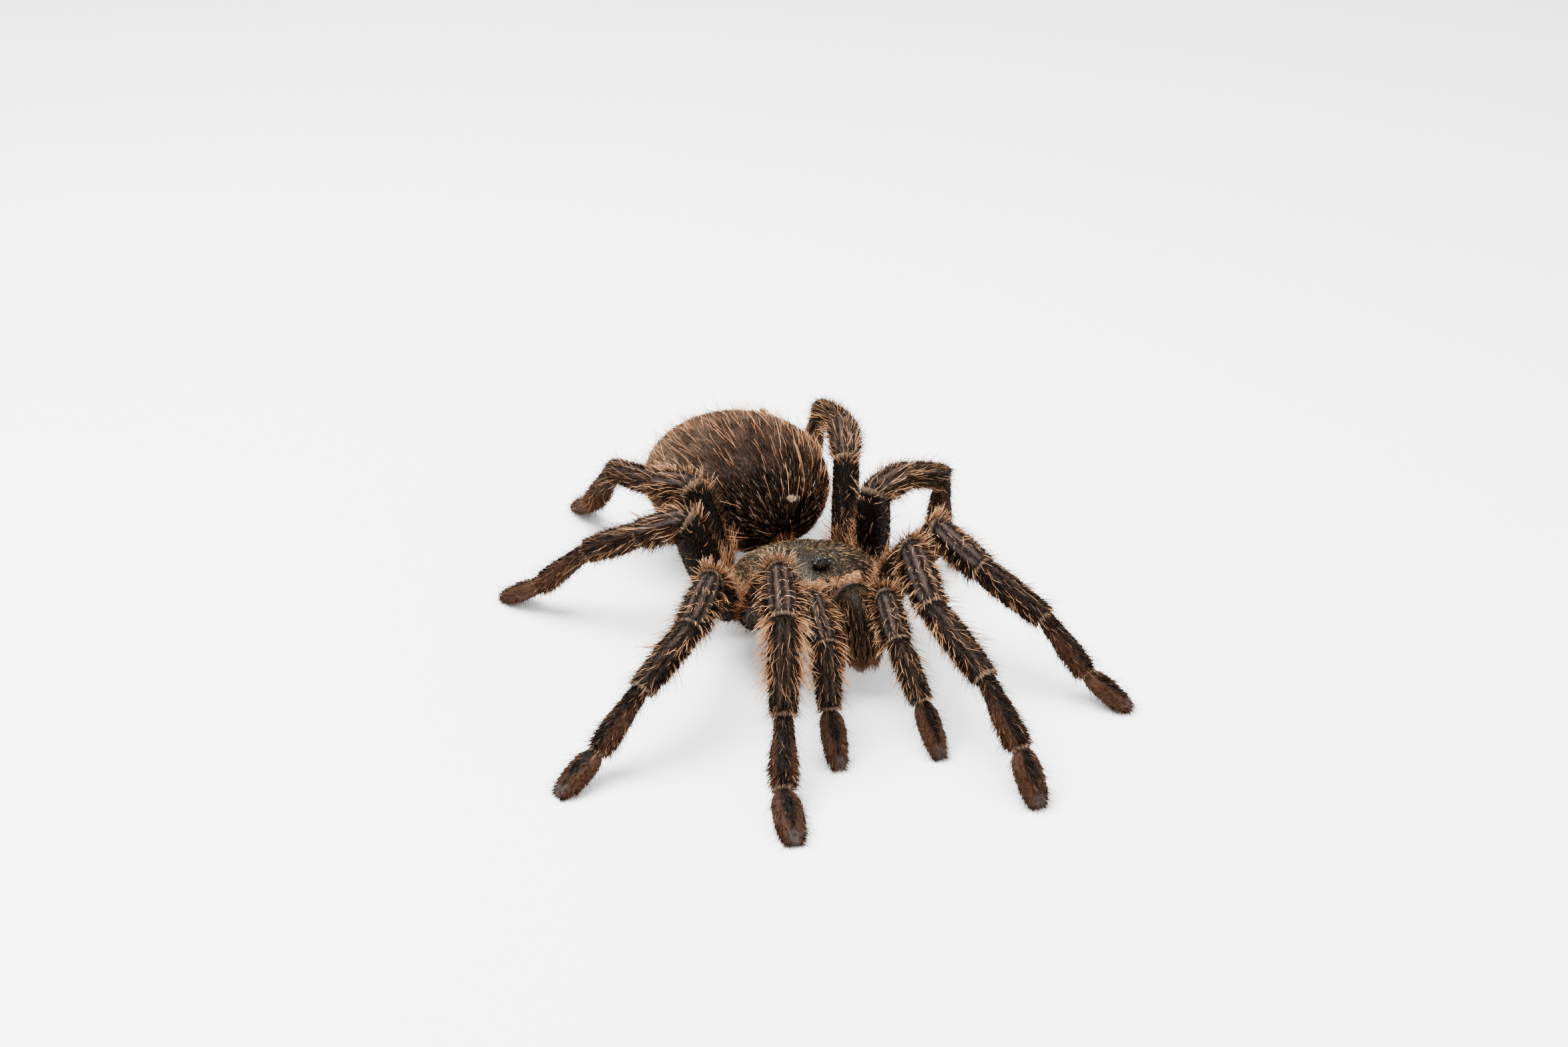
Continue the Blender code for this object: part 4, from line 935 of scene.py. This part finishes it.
# Eyes
# Eight glassy beads sit on one low black mound near the front edge of the shield, with short
# olive hair between them.
MOUND_CENTRE = Vector((0.0, -12.2, 8.4))
MOUND_HALF = (2.1, 1.5, 1.7)
EYES = {
    "front_inner": (0.34, -0.62, 0.45),
    "front_outer": (0.80, -0.62, 0.43),
    "back_outer": (0.86, 0.10, 0.41),
    "back_inner": (0.52, 0.12, 0.30),
}
EYE_SINK = 0.98
SIDES = (("left", 1.0), ("right", -1.0))
MOUND_FUR = 900
MOUND_DOWN = ((0.6, 1.1), 0.1, (35, 65), (5, 35), (0.7, 1.0, 1.4), 1)
mound_finish = Finish("eye_mound", {"Base Color": (0.003, 0.0025, 0.0022, 1.0), "Specular IOR Level": 0.15})
mound_finish.feed("Roughness", mound_finish.noise(900.0) * 0.3 + 0.3)
bm = bmesh.new()
bmesh.ops.create_uvsphere(bm, u_segments=48, v_segments=28, radius=1.0)
bmesh.ops.scale(bm, vec=MOUND_HALF, verts=bm.verts)
bmesh.ops.transform(bm, matrix=tilt @ Matrix.Translation(MOUND_CENTRE), verts=bm.verts)
finish_mesh("eye_mound_skin", bm, mound_finish.material, ["eye_mound"])
draw = np.random.default_rng(36)
unit = sphere_spots(draw, MOUND_FUR)
unit[:, 2] = np.abs(unit[:, 2])
clear = np.full(MOUND_FUR, True)
for beside, ahead, radius in EYES.values():
    bead = np.array((beside, ahead, math.sqrt(max(1.0 - beside ** 2 - ahead ** 2, 0.05))))
    away = (np.abs(unit) * (1, 0, 0) + unit * (0, 1, 1) - bead) * MOUND_HALF
    clear &= np.linalg.norm(away, axis=1) > 1.25 * radius
unit = unit[clear]
placed, (out, lie) = in_place(tilt, np.array(MOUND_CENTRE) + unit * MOUND_HALF,
                              (unit, unit * (1, 1, 0) + (0, 0.3, -0.2)))
colours = shaded(draw, mix(OLIVE, GOLD, draw.uniform(0, 1, len(unit)) ** 3 * 0.6), 0.3)
coat("fur_mound", fur, "carapace_coat", draw, placed, lie, out, sphere_unwrap(unit), MOUND_DOWN, colours, 36)
eye_finish = Finish("eye_glass", {"Roughness": 0.06, "Specular IOR Level": 0.4})
eye_depth = eye_finish.noise(1500.0, 1.0)
eye_finish.feed("Base Color", eye_finish.tinted((0.006, 0.005, 0.0045, 1.0), eye_depth, 0.4))
for side, hand in SIDES:
    for name, (beside, ahead, radius) in EYES.items():
        x, y = hand * beside * MOUND_HALF[0], ahead * MOUND_HALF[1]
        inside = 1.0 - (x / MOUND_HALF[0]) ** 2 - (y / MOUND_HALF[1]) ** 2
        centre = MOUND_CENTRE + Vector((x, y, MOUND_HALF[2] * math.sqrt(max(inside, 0.05)))) * EYE_SINK
        bm = bmesh.new()
        bmesh.ops.create_uvsphere(bm, u_segments=24, v_segments=16, radius=radius)
        bmesh.ops.transform(bm, matrix=tilt @ Matrix.Translation(centre), verts=bm.verts)
        finish_mesh("bead_" + name + "_" + side, bm, eye_finish.material, ["eye_" + name + "_" + side])


# Chelicerae and fangs
# Two stout blocks in front carry the fangs: a bare purple-brown crown painted lighter as a sheen,
# rows of tan hair down the face, and a red-brown beard over the folded black fangs.
CHELICERA_LINE = (
    (4.4, -16.2, 0.4, 3.75, 3.25),
    (4.5, -18.6, 0.9, 4.15, 4.05),
    (4.5, -21.6, 0.2, 4.2, 4.55),
    (4.4, -24.2, -2.6, 4.1, 4.35),
    (4.3, -25.3, -6.6, 3.8, 3.65),
    (4.1, -24.8, -10.2, 2.95, 2.55),
)
FANG_LINE = (
    (4.0, -24.9, -11.0, 1.3),
    (3.9, -22.9, -12.9, 1.15),
    (3.9, -19.9, -13.2, 0.75),
    (4.0, -16.9, -11.8, 0.15),
)
# Purple brown of the bare crown, painted lighter to stand in for the sheen on it
CROWN_WITH_SHEEN = np.array((0.0300, 0.0165, 0.0172))
BEARD = np.array((0.0900, 0.0280, 0.0130))
CHELICERA_FUR = 9500
CHELICERA_HAIRS = 1000
BEARD_HAIRS = 420
LINE_STEPS = 30
FACE_TURN = math.pi / 2


def line_table(line, hand, steps):
    """A smooth run of ovals through a few named ones: centre, along, across, up, half width, half depth."""
    known = np.array([(hand * row[0], row[1], row[2], row[3], row[-1]) for row in line])
    place = np.linspace(0, len(line) - 1, steps)
    index = np.minimum(place.astype(int), len(line) - 2)
    share = (place - index)[:, None]
    padded = np.vstack([2 * known[0] - known[1], known, 2 * known[-1] - known[-2]])
    a, b, c, d = (padded[index + shift] for shift in range(4))
    rows = 0.5 * (2 * b + (c - a) * share + (2 * a - 5 * b + 4 * c - d) * share ** 2
                  + (3 * b - a - 3 * c + d) * share ** 3)
    along = unit_length(np.gradient(rows[:, :3], axis=0))
    across = unit_length((1.0, 0, 0) - along * along[:, :1])
    return rows[:, :3], along, across, np.cross(along, across), rows[:, 3], rows[:, 4]


def line_tube(line, hand, steps, sides, tip):
    """A closed tube through a table of ovals, rounded off at its end."""
    table = np.column_stack(line_table(line, hand, steps))
    left = np.arange(steps)[::-1] / tip
    table[:, 12:] *= np.minimum(1.0, 0.35 + 0.65 * np.sqrt(np.minimum(1.0, left)))[:, None]
    bm = bmesh.new()
    tube(bm, table, sides)
    return bm


def line_spots(line, hand, place, turn):
    """Points of such a tube, the way out of it and the way along it."""
    table = np.column_stack([np.linspace(0, 1, LINE_STEPS), *line_table(line, hand, LINE_STEPS)])
    return round_ovals(table, place, turn)


def chelicera_colours(point):
    """Bare purple brown at the top, painted lighter there as a sheen, then dark brown, near black lower down.
    """
    # Where the crown is bare, and where its painted sheen goes
    bare_crown_sheen = smooth(point[:, 1], -19.8, -18.4) * smooth(point[:, 2], 1.0, 3.0)
    colour = mix(OLIVE * 0.8, CROWN_WITH_SHEEN, bare_crown_sheen)
    return mix(colour, BLACK, 0.95 * smooth(-point[:, 2], -3.0, 2.0)), bare_crown_sheen


def face_hair(name, material, hand, place, turn, thin, size, width, lifts, colours, segments, seed):
    """Hair of one kind on a block, lying down along it."""
    point, out, along = line_spots(CHELICERA_LINE, hand, place, turn)
    skin, bare_crown_sheen = chelicera_colours(point)
    kept = (hand * point[:, 0] > 0.3) & (draw.uniform(0, 1, len(point)) > thin * bare_crown_sheen)
    place, turn, point, out, along, skin = (part[kept] for part in (place, turn, point, out, along, skin))
    count = len(point)
    flat = np.stack([turn / math.tau % 1.0, place], axis=1)
    placed, (out, lie) = in_place(tilt, point, (out, along))
    lift = (draw.uniform(*lifts[0], count), draw.uniform(*lifts[1], count))
    grow(name, material, placed, lie, out, flat, draw.uniform(*size, count),
         draw.uniform(*width, count), lift, colours(skin), segments, seed, 0.14)


def face_velvet(skin):
    """Short fur in the skin's own colours."""
    colour = shaded(draw, skin * 0.8, 0.4)
    return colour * 0.7, colour, colour * 1.3


def face_tan(skin):
    """Tan hair with pale tips."""
    colour = shaded(draw, SALMON * 0.13, 0.8, len(skin))
    return colour * 0.1, colour, colour * (2.0, 2.4, 2.7)


def face_red(skin):
    """Red-brown beard hair."""
    colour = shaded(draw, BEARD, 0.25, len(skin))
    return colour * 0.5, colour, colour * 1.5


chelicera_skin = skin_finish("chelicera_skin", 0.45, 0.06, 300.0, 0.35)
fang_finish = Finish("fang_horn", {"Base Color": (0.012, 0.008, 0.007, 1.0)})
fang_finish.feed("Roughness", fang_finish.noise(400.0) * 0.25 + 0.08)
for side, hand in SIDES:
    bm = line_tube(CHELICERA_LINE, hand, LINE_STEPS, 36, 5)
    spots = np.array([vert.co[:] for vert in bm.verts])
    spots[:, 0] = hand * np.maximum(hand * spots[:, 0], 0.25)
    for vert, spot in zip(bm.verts, spots):
        vert.co = tilt @ Vector(spot)
    colours = chelicera_colours(spots)[0]
    finish_mesh("skin_chelicera_" + side, bm, chelicera_skin, ["chelicera_" + side], colours)
    bm = line_tube(FANG_LINE, hand, 20, 20, 3)
    bmesh.ops.transform(bm, matrix=tilt, verts=bm.verts)
    finish_mesh("horn_fang_" + side, bm, fang_finish.material, ["fang_" + side])

    draw = np.random.default_rng(41 if hand > 0 else 42)
    face_hair("fur_chelicera_" + side, fur, hand, draw.uniform(0.1, 1.0, CHELICERA_FUR),
              draw.uniform(0, math.tau, CHELICERA_FUR), 1.0, (0.7, 1.2), (0.15, 0.17), ((28, 58), (12, 40)),
              face_velvet, 1, 43)
    rows = np.round(draw.uniform(-4.4, 4.4, CHELICERA_HAIRS)) * math.radians(19)
    rows = rows + draw.normal(0, 0.06, CHELICERA_HAIRS)
    face_hair("hair_chelicera_" + side, bristle, hand, draw.uniform(0.30, 0.98, CHELICERA_HAIRS),
              FACE_TURN + rows, 1.0, (1.6, 3.8), (0.08, 0.13), ((12, 30), (-4, 14)), face_tan, 4, 44)
    face_hair("beard_chelicera_" + side, bristle, hand, draw.uniform(0.84, 1.0, BEARD_HAIRS),
              draw.uniform(0, math.tau, BEARD_HAIRS), 0.0, (2.0, 3.6), (0.11, 0.16), ((10, 26), (-22, 2)),
              face_red, 3, 45)


# Breastplate, waist and spinnerets
# Under the shield the breastplate meets the hips, a narrow waist joins the abdomen, and a pair
# of short finger-like spinnerets stands out behind. All are soft dark skin with short hair.
STERNUM_HALF = (6.7, 8.7)
STERNUM_LEVELS = ((-5.2, 0.08), (-5.1, 0.45), (-4.85, 0.68), (-4.2, 0.90), (-2.0, 0.98), (1.5, 0.985))
STERNUM_FUR = 3000
SPINNERET_LINE = (
    (2.0, 20.5, -4.0, 1.5),
    (2.9, 24.6, -3.4, 1.3),
    (4.2, 28.2, -2.0, 0.95),
    (5.4, 30.6, -0.6, 0.45),
)
SPINNERET_FUR = 1100
WAIST = 2.0
WAIST_FUR = 1000
STERNUM_DOWN = ((0.9, 1.9), 0.18, (25, 50), (10, 30), (1.0, 1.0, 1.6), 1)
WAIST_DOWN = ((1.2, 3.4), 0.1, (35, 70), (10, 50), (0.5, 1.0, 1.5), 2)
SPINNERET_DOWN = ((0.6, 1.4), 0.12, (20, 50), (5, 30), (0.8, 1.0, 1.5), 1)
bm = bmesh.new()
tube(bm, [(0, 0, height, 0, 0, 1, 1, 0, 0, 0, 1, 0, STERNUM_HALF[0] * part, STERNUM_HALF[1] * part)
          for height, part in STERNUM_LEVELS], 40)
bmesh.ops.transform(bm, matrix=tilt, verts=bm.verts)
finish_mesh("skin_sternum", bm, abdomen_skin, ["sternum"], BLACK * 1.6)
draw = np.random.default_rng(51)
around = draw.uniform(0, math.tau, STERNUM_FUR)
apart = np.sqrt(draw.uniform(0.0, 0.95, STERNUM_FUR))
heights, parts = np.array(STERNUM_LEVELS).T
beside, ahead = np.cos(around) * apart, np.sin(around) * apart
point = np.stack([beside * STERNUM_HALF[0], ahead * STERNUM_HALF[1], np.interp(apart, parts, heights)], axis=1)
out = unit_length(np.stack([beside * 0.3, ahead * 0.3, np.full(STERNUM_FUR, -1.0)], axis=1))
flat = np.stack([beside, ahead], axis=1) * 0.5 + 0.5
placed, (out, lie) = in_place(tilt, point, (out, np.tile((0.0, 1.0, 0.0), (STERNUM_FUR, 1))))
coat("fur_sternum", fur, "dark_skin", draw, placed, lie, out, flat, STERNUM_DOWN,
     shaded(draw, BLACK * 1.6, 0.4, STERNUM_FUR), 52)

start = tilt @ Vector((0, STERNUM_HALF[1] - 1.0, -1.4))
end = abdomen_spot @ Vector((0, 2.0 - ABDOMEN_HALF[1], -4.0))
along = (end - start).normalized()
across = (Vector((1, 0, 0)) - along * along.x).normalized()
up = across.cross(along)
ovals = []
for share in np.linspace(0, 1, 9):
    waist = WAIST * (0.86 + 0.3 * abs(share - 0.5))
    ovals.append((*start.lerp(end, share), *along, *across, *up, waist, waist))
bm = bmesh.new()
tube(bm, ovals, 24)
finish_mesh("skin_waist", bm, abdomen_skin, ["pedicel"], BLACK)
share, turn = draw.uniform(0.0, 1.0, WAIST_FUR), draw.uniform(0, math.tau, WAIST_FUR)
out = np.cos(turn)[:, None] * np.array(across) + np.sin(turn)[:, None] * np.array(up)
point = np.array(start) + share[:, None] * np.array(end - start) + out * WAIST * 0.9
colours = shaded(draw, mix(BROWN, ORANGE, draw.uniform(0.0, 0.35, WAIST_FUR)), 0.4)
coat("fur_waist", fur, "dark_skin", draw, point, np.tile(along, (WAIST_FUR, 1)), out,
     np.stack([turn / math.tau, share], axis=1), WAIST_DOWN, colours, 54)

for side, hand in SIDES:
    bm = line_tube(SPINNERET_LINE, hand, 24, 20, 4)
    bmesh.ops.transform(bm, matrix=abdomen_spot, verts=bm.verts)
    finish_mesh("skin_spinneret_" + side, bm, abdomen_skin, ["spinneret_" + side],
                BROWN * 1.4)
    place, turn = draw.uniform(0.25, 0.95, SPINNERET_FUR), draw.uniform(0, math.tau, SPINNERET_FUR)
    point, out, along = line_spots(SPINNERET_LINE, hand, place, turn)
    placed, (out, lie) = in_place(abdomen_spot, point, (out, along))
    colours = shaded(draw, mix(BROWN, SALMON, draw.uniform(0.0, 0.3, SPINNERET_FUR)), 0.3)
    coat("fur_spinneret_" + side, fur, "spinneret_coat", draw, placed, lie, out,
         np.stack([turn / math.tau, place], axis=1), SPINNERET_DOWN, colours, 53)


# Claws
# Each foot ends in a pair of small black hooks half hidden in its pad.
CLAW_LENGTH = 1.4
claw_finish = Finish("claw_horn", {"Base Color": (0.012, 0.009, 0.008, 1.0)})
claw_finish.feed("Roughness", claw_finish.noise(600.0) * 0.2 + 0.1)
for limb in limbs:
    row = limb.table[-1]
    tip, along, across, up = (Vector(row[start:start + 3]) for start in (1, 4, 7, 10))
    bm = bmesh.new()
    for hand in (-1.0, 1.0):
        ovals = []
        for share in np.linspace(0, 1, 6):
            spot = tip + across * hand * 0.35 + up * (0.35 - 0.5 * share ** 2)
            spot = spot + along * (CLAW_LENGTH * (share - 0.5))
            spot.z = max(spot.z, 0.3)
            thick = 0.24 * (1 - 0.85 * share)
            ovals.append((*spot, *along, *across, *up, thick, thick))
        tube(bm, ovals, 8)
    finish_mesh("claws_" + limb.name, bm, claw_finish.material, [])
